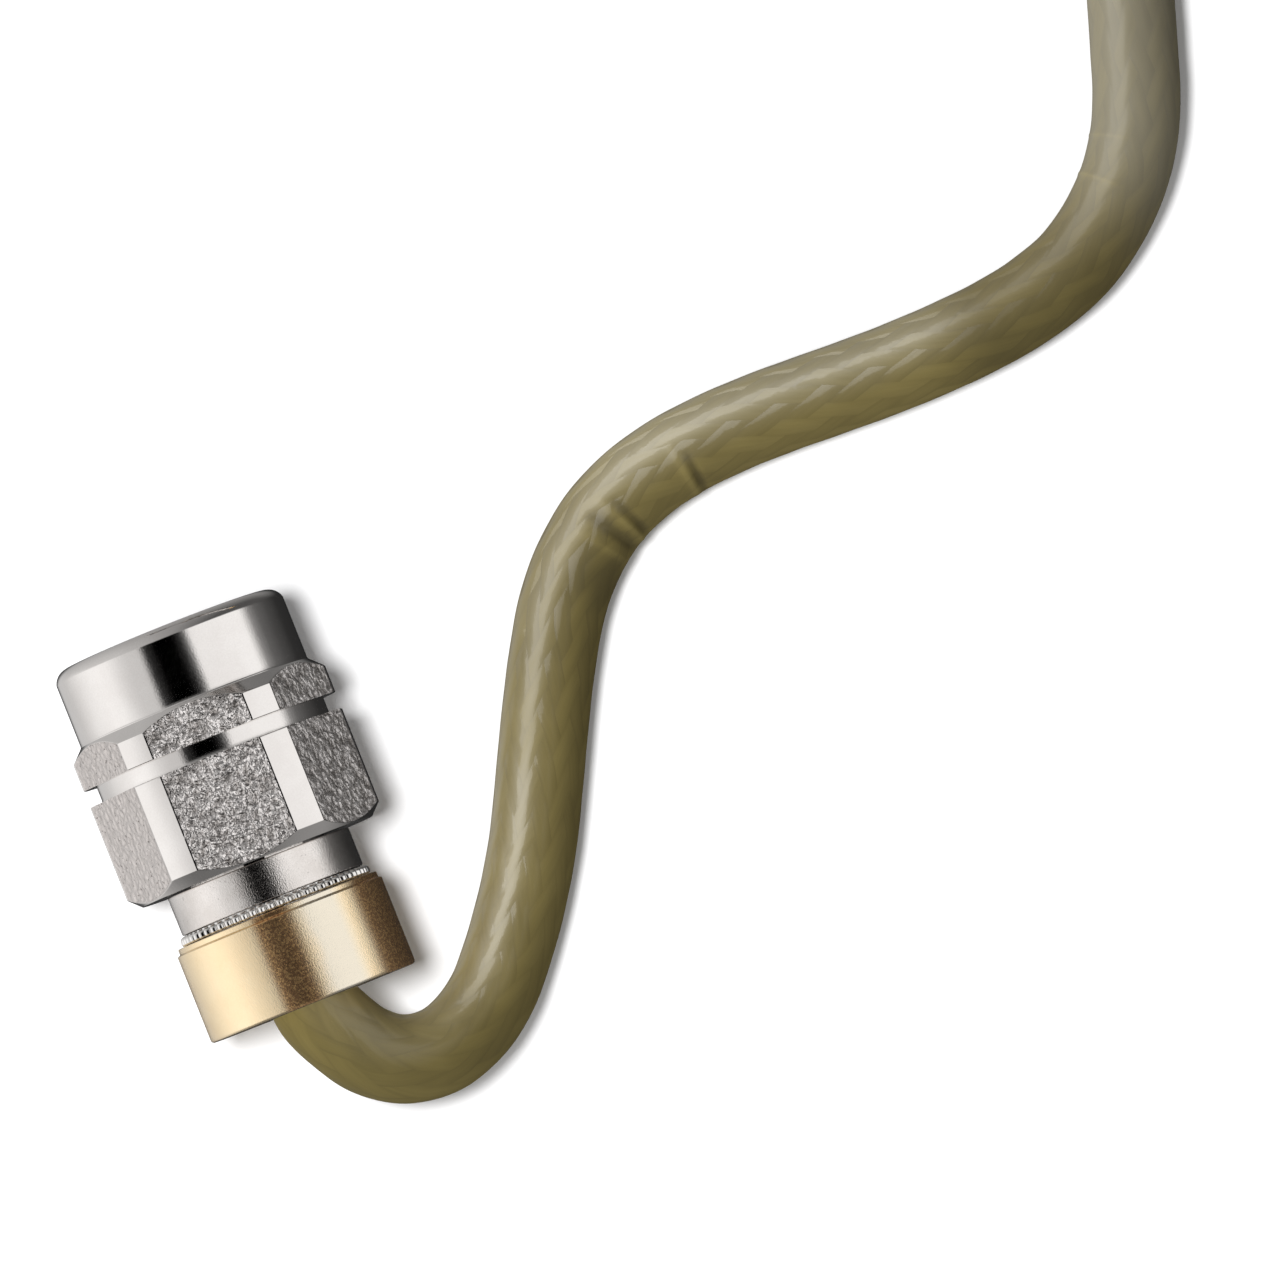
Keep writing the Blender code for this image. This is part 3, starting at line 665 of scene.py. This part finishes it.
def build_cable():
    route = cable_route()
    fine = through(route, 0.15)
    pts = fine[:520] + fine[520::2]
    if (pts[-1] - fine[-1]).length > 1e-6:
        pts[-1] = fine[-1]
    C = np.array([tuple(p) for p in pts])
    gone = np.concatenate([[0], np.cumsum(np.linalg.norm(np.diff(C, axis=0), axis=1))])
    T = np.gradient(C, axis=0)
    T /= np.linalg.norm(T, axis=1)[:, None]
    # A frame that doesn't twist, starting with its side straight up.
    N = np.zeros_like(C)
    n = np.array([0, 0, 1.0])
    for k in range(len(C)):
        n = n - T[k] * np.dot(n, T[k])
        n /= np.linalg.norm(n)
        N[k] = n
    B = np.cross(T, N)
    cols = 112
    v = np.arange(cols) / cols * math.tau
    t = (gone / PITCH)[:, None]
    a = (v / math.tau * YARNS)[None, :]
    h = braid_height(*np.broadcast_arrays(t, a))
    # The coat fills the hollows, so only a soft relief is left.
    for _ in range(2):
        h = (np.roll(h, 1, 1) + 2 * h + np.roll(h, -1, 1)) / 4
        h[1:-1] = (h[:-2] + 2 * h[1:-1] + h[2:]) / 4
    r = CABLE_R - 0.035 + 0.018 * h
    U = N[:, None, :] * np.cos(v)[None, :, None] + B[:, None, :] * np.sin(v)[None, :, None]
    P = C[:, None, :]
    # Soft unevenness of the jacket along its length.
    for k in range(len(C)):
        q = gone[k]
        w = noise.noise(Vector((q * 0.16, 3.1, 0.7))) * 0.020
        r[k] += w
    crease_shade_and_highlight = np.zeros_like(r)
    for px, py, depth, width, reach, tone in CREASES:
        x, y = picture_to_row(px, py)
        k = int(np.argmin((C[:, 0] - x) ** 2 + (C[:, 1] - y) ** 2))
        toward = np.array([x - C[k, 0], y - C[k, 1], 0.55 * CABLE_R])
        toward /= np.linalg.norm(toward)
        lo, hi = max(k - 30, 0), min(k + 31, len(C))
        du = gone[lo:hi] - gone[k]
        cosang = np.clip(U[lo:hi] @ toward, -1, 1)
        ang = np.degrees(np.arccos(cosang))
        round_ = np.clip(1 - (ang / reach) ** 2, 0, 1)
        amount = np.exp(-(du[:, None] / width) ** 2) * round_
        r[lo:hi] += depth * amount
        crease_shade_and_highlight[lo:hi] += tone * amount
    P = P + U * r[..., None]
    o = grid_object("braided_cable", P, wrap_rows=False, smooth_angle=None)
    mesh = o.data
    tones = mesh.attributes.new("crease_shade_and_highlight", "FLOAT", "POINT")
    tones.data.foreach_set("value", np.append(crease_shade_and_highlight.ravel(), [0.0, 0.0]).astype(np.float32))
    layer = mesh.uv_layers.new(name="braid")
    # Columns run 0..YARNS; the face that closes the round gets the full number.
    loops = np.zeros(len(mesh.loops), int)
    mesh.loops.foreach_get("vertex_index", loops)
    starts = np.zeros(len(mesh.polygons), int)
    totals = np.zeros(len(mesh.polygons), int)
    mesh.polygons.foreach_get("loop_start", starts)
    mesh.polygons.foreach_get("loop_total", totals)
    R = len(C)
    row = np.minimum(loops // cols, R - 1)
    col = np.where(loops < R * cols, loops % cols, 0)
    uv = np.stack([gone[row] / PITCH, col * YARNS / cols], -1)
    quads = starts[totals == 4]
    idx = quads[:, None] + np.arange(4)[None, :]
    cq = col[idx]
    seam = (cq.max(1) == cols - 1) & (cq.min(1) == 0)
    fix = idx[seam]
    sel = fix[cq[seam] == 0]
    uv[sel, 1] += YARNS
    layer.data.foreach_set("uv", uv.astype(np.float32).ravel())
    finish_piece(o, "cable_body", ["jacket"],
                 ["cable_run", "cable_loop", "cable_tail"])
    [tuple(p * MM) for p in pts]
    return o


cable = build_cable()


# ================================================================ coupling nut
def build_nut():
    flat_half = math.degrees(math.acos(FLAT_R / LAND_R))
    cols = []
    for k in range(6):
        c = 60 * k
        cols += list(c + np.linspace(-flat_half, flat_half, 84))
        cols += list(c + np.linspace(flat_half, 60 - flat_half, 10)[1:-1])
    cols = np.radians(np.array(cols))
    rows = []                                       # (envelope radius, y, hexagon?)

    def run(r0, y0, r1, y1, count, hexed=False):
        for k in range(count):
            w = k / count
            rows.append((r0 + (r1 - r0) * w, y0 + (y1 - y0) * w, hexed))

    # The rim is an arc that meets the wall at an edge of 13 degrees.
    fil, p0, p1 = 0.56, math.radians(13), math.radians(78)
    rho = fil / (math.sin(p1) - math.sin(p0))
    run(4.64, LENGTH - 0.01, 4.69, LENGTH, 2)
    run(4.69, LENGTH, RING_R - rho * (math.cos(p0) - math.cos(p1)), LENGTH, 4)
    for k in range(15):
        q = p1 + (p0 - p1) * k / 14
        rows.append((RING_R - rho * (math.cos(p0) - math.cos(q)),
                     LENGTH - fil + rho * (math.sin(q) - math.sin(p0)), False))
    run(RING_R, LENGTH - fil - 0.015, RING_R, LENGTH - fil - 0.03, 1)
    run(RING_R, LENGTH - fil - 0.06, RING_R, HEX_TOP + 0.08, 14)
    run(RING_R, HEX_TOP + 0.06, RING_R + 0.02, HEX_TOP, 3)
    cone = HEX_TOP - (LAND_R - RING_R)
    run(RING_R + 0.02, HEX_TOP - 0.02, LAND_R - 0.012, cone + 0.012, 24, True)
    run(LAND_R - 0.004, cone, LAND_R, cone - 0.02, 2, True)
    run(LAND_R, cone - 0.06, LAND_R, GROOVE_HIGH + 0.05, 24, True)
    run(LAND_R, GROOVE_HIGH + 0.035, LAND_R - 0.035, GROOVE_HIGH, 3, True)
    run(LAND_R - 0.05, GROOVE_HIGH, RING_R + 0.03, GROOVE_HIGH, 4, True)
    run(RING_R, GROOVE_HIGH - 0.03, RING_R, GROOVE_LOW + 0.03, 6)
    run(RING_R + 0.03, GROOVE_LOW, LAND_R - 0.05, GROOVE_LOW, 4, True)
    run(LAND_R - 0.035, GROOVE_LOW, LAND_R, GROOVE_LOW - 0.035, 3, True)
    run(LAND_R, GROOVE_LOW - 0.06, LAND_R, HEX_BOTTOM + 0.56, 78, True)
    run(LAND_R, HEX_BOTTOM + 0.55, LAND_R - 0.004, HEX_BOTTOM + 0.53, 2, True)
    run(LAND_R - 0.012, HEX_BOTTOM + 0.518, LAND_R - 0.53, HEX_BOTTOM + 0.01, 22, True)
    run(LAND_R - 0.54, HEX_BOTTOM, 3.42, HEX_BOTTOM, 6)
    inner = [(3.35, HEX_BOTTOM + 0.06), (3.35, 9.93), (4.15, 9.93), (4.15, 12.2),
             (4.55, 12.3), (4.55, 12.95)]
    y = 13.05
    while y + 1.0 < LENGTH - 0.4:
        inner += [(4.25, y), (4.25, y + 0.15), (4.5, y + 0.45), (4.5, y + 0.58)]
        y += 1.0
    inner += [(4.25, y), (4.25, LENGTH - 0.37), (4.60, LENGTH - 0.03)]
    inner = rounded([(3.42, HEX_BOTTOM)] + inner, 0.04, 2, closed=False)[1:]
    rows += [(r, h, False) for r, h in inner]

    env = np.array([q[0] for q in rows])[:, None]
    h = np.array([q[1] for q in rows])[:, None]
    hexed = np.array([q[2] for q in rows])[:, None]
    th = cols[None, :]
    off = (th + math.pi / 6) % (math.pi / 3) - math.pi / 6
    flat = FLAT_R / np.cos(off)
    env, h, hexed, flat_b, th_b = np.broadcast_arrays(env, h, hexed, flat, th)
    on_flat = hexed & (flat_b < env - 1e-5)
    r = np.where(hexed, np.minimum(env, flat_b), env)
    P = along_y(r, th_b, h)
    # Pebbles on the flats, pressed inwards only.
    centre = np.round(th_b / (math.pi / 3)) * (math.pi / 3)
    deep = np.zeros_like(r)
    edge = np.clip((env - flat_b) / 0.10, 0, 1)
    for i, j in zip(*np.nonzero(on_flat)):
        p = Vector(P[i, j])
        n = (noise.noise(p * 2.9) * 0.5 + noise.noise(p * 5.6 + Vector((9, 4, 2))) * 0.9)
        deep[i, j] = (-0.026 + 0.040 * n) * edge[i, j]
    deep = np.minimum(deep, 0)
    P = P + np.stack([np.sin(centre) * deep, np.zeros_like(deep), np.cos(centre) * deep], -1)
    o = grid_object("coupling_hex_nut", P, wrap_rows=True, smooth_angle=None)
    R, C = r.shape
    faces = grid_faces(R, C, True, True)
    votes = on_flat.reshape(-1)[faces].sum(1)
    o.data.polygons.foreach_set("material_index", (votes >= 4).astype(np.int32))
    o.data.materials.append(MAT["satin_y"])
    o.data.materials.append(MAT["blasted"])
    mark_sharp(o, 24)
    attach(o, "nut")
    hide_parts("coupling_nut")
    return o


nut = build_nut()


# ============================================================ other turned work
def build_coupling_rings():
    neck = turned("neck_collar_turned", rounded([
        (4.41, 6.86), (4.41, 5.03), (3.33, 5.03), (3.33, 6.86)], 0.07), along_y, 192)
    finish_piece(neck, "cable_body", ["grainy_y"], ["neck_collar"])
    gold = turned("gold_end_ring", rounded([
        (4.84, 4.53), (4.84, 4.27), (4.985, 4.21), (4.985, 0.0), (2.22, 0.0),
        (2.22, 1.1), (3.33, 1.1), (3.33, 4.53)], 0.05, special={2: 0.06, 3: 0.16, 4: 0.12}),
        along_y, 224)
    finish_piece(gold, "cable_body", ["gold_y"], ["end_ring"])

    # Teeth with rounded ends towards the neck.
    teeth, tip, root = 64, 4.605, 4.43
    a = np.arange(teeth * 12) * math.tau / (teeth * 12)
    wave = np.clip(0.5 + 0.5 * np.cos(a * teeth), 0, 1) ** 0.38
    rows = []
    for y, k in ((4.57, 0.35), (4.60, 0.10), (4.66, 0.0), (4.76, 0.0), (4.83, 0.04),
                 (4.88, 0.14), (4.92, 0.30), (4.95, 0.50), (4.975, 0.75), (4.99, 1.0)):
        rows.append((root - 0.02 + (tip - root + 0.02) * np.clip(wave - k, 0, 1), y))
    inner = [(4.2, 4.99), (3.4, 4.99), (3.33, 4.93), (3.33, 4.63), (3.4, 4.57), (4.2, 4.57)]
    rows += [(np.full_like(a, r), y) for r, y in inner]
    P = np.stack([along_y(r, a, np.full_like(a, y)) for r, y in rows])
    ring = grid_object("toothed_ring_cut", P, True, 50)
    finish_piece(ring, "cable_body", ["bright"], ["toothed_ring"])

    guide = turned("pin_guide_turned", rounded([
        (3.2, 12.0), (3.2, 11.46), (2.57, 11.46), (2.57, 8.5), (0.97, 8.5), (0.97, 12.0)],
        0.08), along_y, 96)
    finish_piece(guide, "cable_body", ["brass_y"], ["pin_guide"])
    pin = turned("release_pin_turned", [(0, 12.4), (0.35, 12.4)] + rounded([
        (0.5, 12.4), (0.62, 12.38), (0.9, 12.1), (0.9, 5.62), (0.5, 5.62)], 0.08,
        closed=False) + [(0, 5.62)], along_y, 64)
    finish_piece(pin, "pin", ["bright"], ["release_pin"])
    return gold


gold_ring = build_coupling_rings()


def cut(o, cutter):
    m = o.modifiers.new("cut", "BOOLEAN")
    m.operation, m.object, m.solver = "DIFFERENCE", cutter, "EXACT"
    dg = bpy.context.evaluated_depsgraph_get()
    dg.update()
    mesh = bpy.data.meshes.new_from_object(o.evaluated_get(dg))
    o.modifiers.clear()
    o.data = mesh
    bpy.data.objects.remove(cutter, do_unlink=True)
    return o


def build_plunger():
    ferrule = turned("gold_ferrule", rounded([
        (4.15, 4.9), (4.15, 0.0), (2.22, 0.0), (2.22, 1.1), (3.12, 1.1), (3.12, 4.9)],
        0.05, special={0: 0.1, 1: 0.28, 2: 0.1}), along_x, 160)
    finish_piece(ferrule, "cable_body", ["gold_x"], ["plunger_ferrule"])

    outer = [(3.6, 33.0), (3.6, 30.0), (4.1, 30.0), (4.1, 27.4), (4.6, 27.4)]
    for s in (25.6, 24.6, 23.6, 9.4, 8.4, 7.4):
        outer += [(4.6, s + 0.2), (4.45, s + 0.1), (4.45, s - 0.1), (4.6, s - 0.2)]
    outer += [(4.6, 5.0), (3.07, 5.0), (3.07, 1.3), (2.72, 1.3), (2.72, 5.2), (0.8, 5.2),
              (0.8, 8.6), (3.0, 8.6), (3.0, 33.0)]
    barrel = turned("plunger_barrel_turned", rounded(
        outer, 0.05, special={4: 0.12, 29: 0.25}), along_x, 160)
    finish_piece(barrel, "cable_body", ["satin_x"], ["plunger_barrel"])

    collar = turned("end_collar_turned", rounded([
        (5.4, 36.0), (5.4, 34.2), (5.28, 34.1), (5.28, 33.9), (5.4, 33.8), (5.4, 31.9),
        (5.28, 31.8), (5.28, 31.6), (5.4, 31.5), (5.4, 30.05), (3.66, 30.05),
        (3.66, 33.1), (2.65, 33.1), (2.65, 36.0)], 0.04,
        special={0: 0.3, 9: 0.22}), along_x, 128)
    P = np.stack([along_z(np.full(48, 1.05), np.arange(48) * math.tau / 48, np.full(48, z))
                  for z in (0.3, 7.0)])
    collar = cut(collar, grid_object("hole", P, False))
    collar.data.shade_smooth()
    collar.data.set_sharp_from_angle(angle=math.radians(32))
    finish_piece(collar, "cable_body", ["satin_x"], ["end_collar"])

    face = [(0, 49.6), (0.5, 49.6), (1.9, 49.6)]
    r = 2.0
    while r < 4.2:
        z = 49.6 + 0.36 * ((r - 2.0) / 2.35)
        face += [(r, z), (r + 0.10, z - 0.07), (r + 0.2, z - 0.07), (r + 0.3, z + 0.045)]
        r += 0.42
    button = [(4.4, 50.0), (4.75, 49.7), (4.75, 47.7), (4.45, 47.3), (2.7, 46.5), (2.5, 43.2),
              (2.2, 42.9), (1.66, 42.9), (1.66, 45.3), (0.6, 45.3)]
    button = face + rounded([face[-1]] + button, 0.12, closed=False)[1:] + [(0, 45.3)]
    b = turned("thumb_button_turned", button, along_x, 160)
    finish_piece(b, "button", ["satin_x"], ["thumb_button"])
    rod = turned("plunger_rod_turned", [(0, 45.2), (0.7, 45.2)] + rounded([
        (1.0, 45.2), (1.6, 45.2), (1.6, 28.7), (1.0, 28.7)], 0.16, closed=False)
        + [(0.7, 28.7), (0, 28.7)], along_x, 96)
    finish_piece(rod, "button", ["bright_x"], ["plunger_rod"])

    # The finger rest: an oval plate with its hole for the barrel's spigot.
    n = 240
    a = np.arange(n) * math.tau / n
    hx, hy, rc = 5.4, 10.0, 4.6                     # half height, half width, corners
    cs, sn = np.cos(a), np.sin(a)
    out_r = np.zeros(n)
    for k in range(n):
        lo_, hi_ = 0.0, 20.0
        for _ in range(40):
            mid = (lo_ + hi_) / 2
            z, y = abs(mid * cs[k]), abs(mid * sn[k])
            dz, dy = max(z - (hx - rc), 0), max(y - (hy - rc), 0)
            inside = math.hypot(dz, dy) < rc
            lo_, hi_ = (mid, hi_) if inside else (lo_, mid)
        out_r[k] = lo_
    edge, low, high = 0.55, 27.45, 29.95
    prof = [(1.0, 0.0, low, None)]
    rows = []
    for k in range(7):                              # round the back edge
        q = math.pi / 2 * k / 6
        rows.append((out_r - edge + edge * math.sin(q), low + edge - edge * math.cos(q)))
    rows.append((out_r, (low + high) / 2))
    for k in range(7):
        q = math.pi / 2 * k / 6
        rows.append((out_r - edge + edge * math.cos(q), high - edge + edge * math.sin(q)))
    hole = np.full(n, 4.16)
    for w in (0.15, 0.5, 0.85):
        rows.append(((out_r - edge) * (1 - w) + (hole + 0.1) * w, high))
    rows += [(hole + 0.1, high), (hole + 0.03, high - 0.03), (hole, high - 0.1),
             (hole, low + 0.1), (hole + 0.03, low + 0.03), (hole + 0.1, low)]
    for w in (0.85, 0.5, 0.15):
        rows.append(((out_r - edge) * (1 - w) + (hole + 0.1) * w, low))
    P = np.stack([along_x(r_, a, np.full(n, s_)) for r_, s_ in rows])
    rest = grid_object("finger_rest_plate", P, True, 40)
    finish_piece(rest, "cable_body", ["satin_x"], ["finger_rest"])

    # The lock screw's straight-knurled knob with a domed top, and its shank.
    teeth = 28
    n = teeth * 12
    a = np.arange(n) * math.tau / n
    wave = np.clip(0.5 + 0.5 * np.cos(a * teeth), 0, 1) ** 0.6
    tip, root, z0 = 2.5, 2.31, 5.9
    rows = []
    for z, k, inset in ((0.0, 0.0, 0.25), (0.06, 0.4, 0.12), (0.18, 1, 0), (0.6, 1, 0),
                        (1.5, 1, 0), (1.88, 1, 0), (2.05, 0.6, 0.05), (2.14, 0.1, 0.14)):
        rows.append((root + (tip - root) * wave * k - inset, z0 + z))
    for r_, z in ((2.05, 2.19), (1.9, 2.2), (1.82, 2.17), (1.7, 2.12), (1.5, 2.14),
                  (1.0, 2.2), (0.5, 2.23), (0.2, 2.235)):
        rows.append((np.full(n, r_), z0 + z))
    top = rows[::-1]
    rows = [(np.full(n, 0.25), 2.75), (np.full(n, 0.8), 2.75), (np.full(n, 0.98), 2.93),
            (np.full(n, 0.98), 4.2), (np.full(n, 0.98), z0 - 0.08), (np.full(n, 1.06), z0),
            (np.full(n, 1.5), z0)] + top[::-1]
    P = np.stack([along_z(r_, a, np.full(n, z_)) for r_, z_ in rows])
    knob = grid_object("lock_screw_knurled", P, False, 40)
    finish_piece(knob, "lock_knob", ["satin_z"], ["lock_screw"])


build_plunger()

# What stays as it was made gets its finish.
for node, mat in {
    "swivel_tube": "satin_y", "thrust_washer": "brass_y", "conduit_end_front": "bright",
    "crimp_sleeve_front": "brass_y", "core_wire_front": "bright",
    "conduit_end_rear": "bright_x", "crimp_sleeve_rear": "brass_x", "rod_bush": "brass_x",
    "bumper_washer": "rubber", "piston": "brass_x", "wire_clamp": "brass_x",
    "core_wire_rear": "bright_x", "return_spring": "bright_x", "lock_pad": "brass_x",
}.items():
    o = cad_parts[node]
    if not o.material_slots:
        o.data.materials.append(None)
    for slot in o.material_slots:
        slot.material = MAT[mat]


# ============================================================ floor and lights
def add_floor():
    mesh = bpy.data.meshes.new("floor")
    s = 1.5
    mesh.from_pydata([(-s, -s, 0), (s, -s, 0), (s, s, 0), (-s, s, 0)], [], [(0, 1, 2, 3)])
    o = bpy.data.objects.new("floor", mesh)
    o.location = (0, 0, -0.00002)
    bpy.context.scene.collection.objects.link(o)
    m, nt, b = new_material("floor_white")
    g = grains(nt, position(nt), 0.02, detail=1.0)
    nt.links.new(mix_colour(nt, g, (0.89, 0.89, 0.90), (0.91, 0.91, 0.915)), b.inputs["Base Color"])
    b.inputs["Roughness"].default_value = 1.0
    b.inputs["Specular IOR Level"].default_value = 0.0
    mesh.materials.append(m)
    o.visible_glossy = False
    o.visible_diffuse = False
    return o


def add_world():
    """A pale studio. Mirrored in the metal it is a bright wall on the left, a
    dark gap over the camera, a white screen on the right and dark below it."""
    w = bpy.data.worlds.new("studio")
    bpy.context.scene.world = w
    w.use_nodes = True
    nt = w.node_tree
    Expr.tree = nt
    nt.nodes.clear()
    out = nt.nodes.new("ShaderNodeOutputWorld")
    tc = nt.nodes.new("ShaderNodeTexCoord")
    sep = nt.nodes.new("ShaderNodeSeparateXYZ")
    nt.links.new(tc.outputs["Generated"], sep.inputs[0])
    x, y, z = (Expr(sep.outputs[k]) for k in range(3))
    angle = Expr.op("ARCTAN2", x, z) * (180 / math.pi)
    ramp = nt.nodes.new("ShaderNodeValToRGB")
    nt.links.new(angle.span(-180, 180, 0, 1).v, ramp.inputs[0])
    stops = [(-180, .03), (-165, .08), (-154, .58), (-131, .66), (-116, .82), (-104, .94), (-93, 1.02),
             (-78, 1.10), (-66, 1.04), (-58, .90), (-50, .76), (-43, .69), (-29.5, .66),
             (-23.5, .03), (-13, .0), (5.5, .0), (12.3, .02), (17.4, .18), (22.4, .96),
             (28, .98), (78, 1.04), (89, .27), (99, .13), (116, .07), (137, .03),
             (180, .02)]
    e = ramp.color_ramp.elements
    while len(e) < len(stops):
        e.new(0.5)
    for k, (deg, v) in enumerate(stops):
        e[k].position = (deg + 180) / 360
        e[k].color = (v / 1.2, v / 1.2, v / 1.2, 1)
    # Beyond the coupling's mouth it is a grey wall, lighter on the left; beyond
    # its cable end a darker one.
    far, near = y.step(0.20, 0.52), (y * -1.0).step(0.45, 0.90)
    wall = (0.46 - x * 0.50).max(0.12)
    env = Expr(ramp.outputs[0]) * 1.60
    env = env * (1.0 - far) + wall * far
    env = env * (1.0 - near) + near * (x.max(0.0) * 0.40 + 0.22)
    lp = nt.nodes.new("ShaderNodeLightPath")
    bg = nt.nodes.new("ShaderNodeBackground")
    glossy, cam = Expr(lp.outputs["Is Glossy Ray"]), Expr(lp.outputs["Is Camera Ray"])
    # What falls on matt things comes mostly from above and a little from the left.
    left = (x * -0.9285 + y * 0.3714).max(0.0)
    down = (x * -0.3714 - y * 0.9285).max(0.0)
    ambient = z.step(-0.25, 0.15) * (0.16 + left * 0.12 + down * 0.65) + 0.05 + down * 0.60
    value = glossy * env + (1.0 - glossy) * (cam * 0.95 + (1.0 - cam) * ambient)
    nt.links.new(value.v, bg.inputs["Strength"])
    nt.links.new(bg.outputs[0], out.inputs[0])
    w.cycles.sampling_method = "NONE"
    return w


def aim(o, direction):
    """Turns a lamp so that it shines along a direction."""
    o.rotation_mode = "QUATERNION"
    o.rotation_quaternion = Vector(direction).normalized().to_track_quat("-Z", "Y")


def add_lights(floor):
    # A lamp close above, over the left of the picture: its shadows fall short
    # under the coupling and lengthen towards the right.
    over = Vector((AXIS_X, -25.0, 0)) * MM - PIC_RIGHT * 0.028
    lamp = bpy.data.lights.new("key", "AREA")
    lamp.shape = "DISK"
    lamp.size = 0.058
    lamp.energy = 0.82
    key = bpy.data.objects.new("key", lamp)
    bpy.context.scene.collection.objects.link(key)
    key.location = over + Vector((0, 0, 0.276))
    aim(key, Vector((0, 0, -1)))
    key.visible_glossy = False
    key.visible_camera = False
    on_floor = bpy.data.collections.new("key_lights_floor")
    on_floor.objects.link(floor)
    key.light_linking.receiver_collection = on_floor

    # A long soft panel up and to the left gives the cable its sheen.
    toward = (PIC_RIGHT * -0.647 + PIC_UP * 0.39 + Vector((0, 0, 0.657))).normalized()
    length = PIC_RIGHT * 0.21 + PIC_UP * 0.72 - Vector((0, 0, 0.23))
    length = (length - toward * length.dot(toward)).normalized()
    aimed = Vector((0.0, -0.020, 0.003))
    panel = bpy.data.lights.new("panel", "AREA")
    panel.shape = "RECTANGLE"
    panel.size, panel.size_y = 0.34, 0.235
    panel.energy = 0.70
    panel.color = (1.0, 0.99, 0.95)
    o = bpy.data.objects.new("panel", panel)
    bpy.context.scene.collection.objects.link(o)
    m = Matrix((length, toward.cross(length), toward)).transposed().to_4x4()
    m.translation = aimed + toward * 0.22
    o.matrix_world = m
    o.visible_camera = False
    lit = bpy.data.collections.new("panel_lights_cable")
    lit.objects.link(cable)
    o.light_linking.receiver_collection = lit
    near_it = bpy.data.collections.new("panel_shadows")
    near_it.objects.link(cable)
    o.light_linking.blocker_collection = near_it


floor = add_floor()
add_world()
add_lights(floor)
cable.visible_glossy = False
bpy.context.scene.view_settings.view_transform = "Standard"
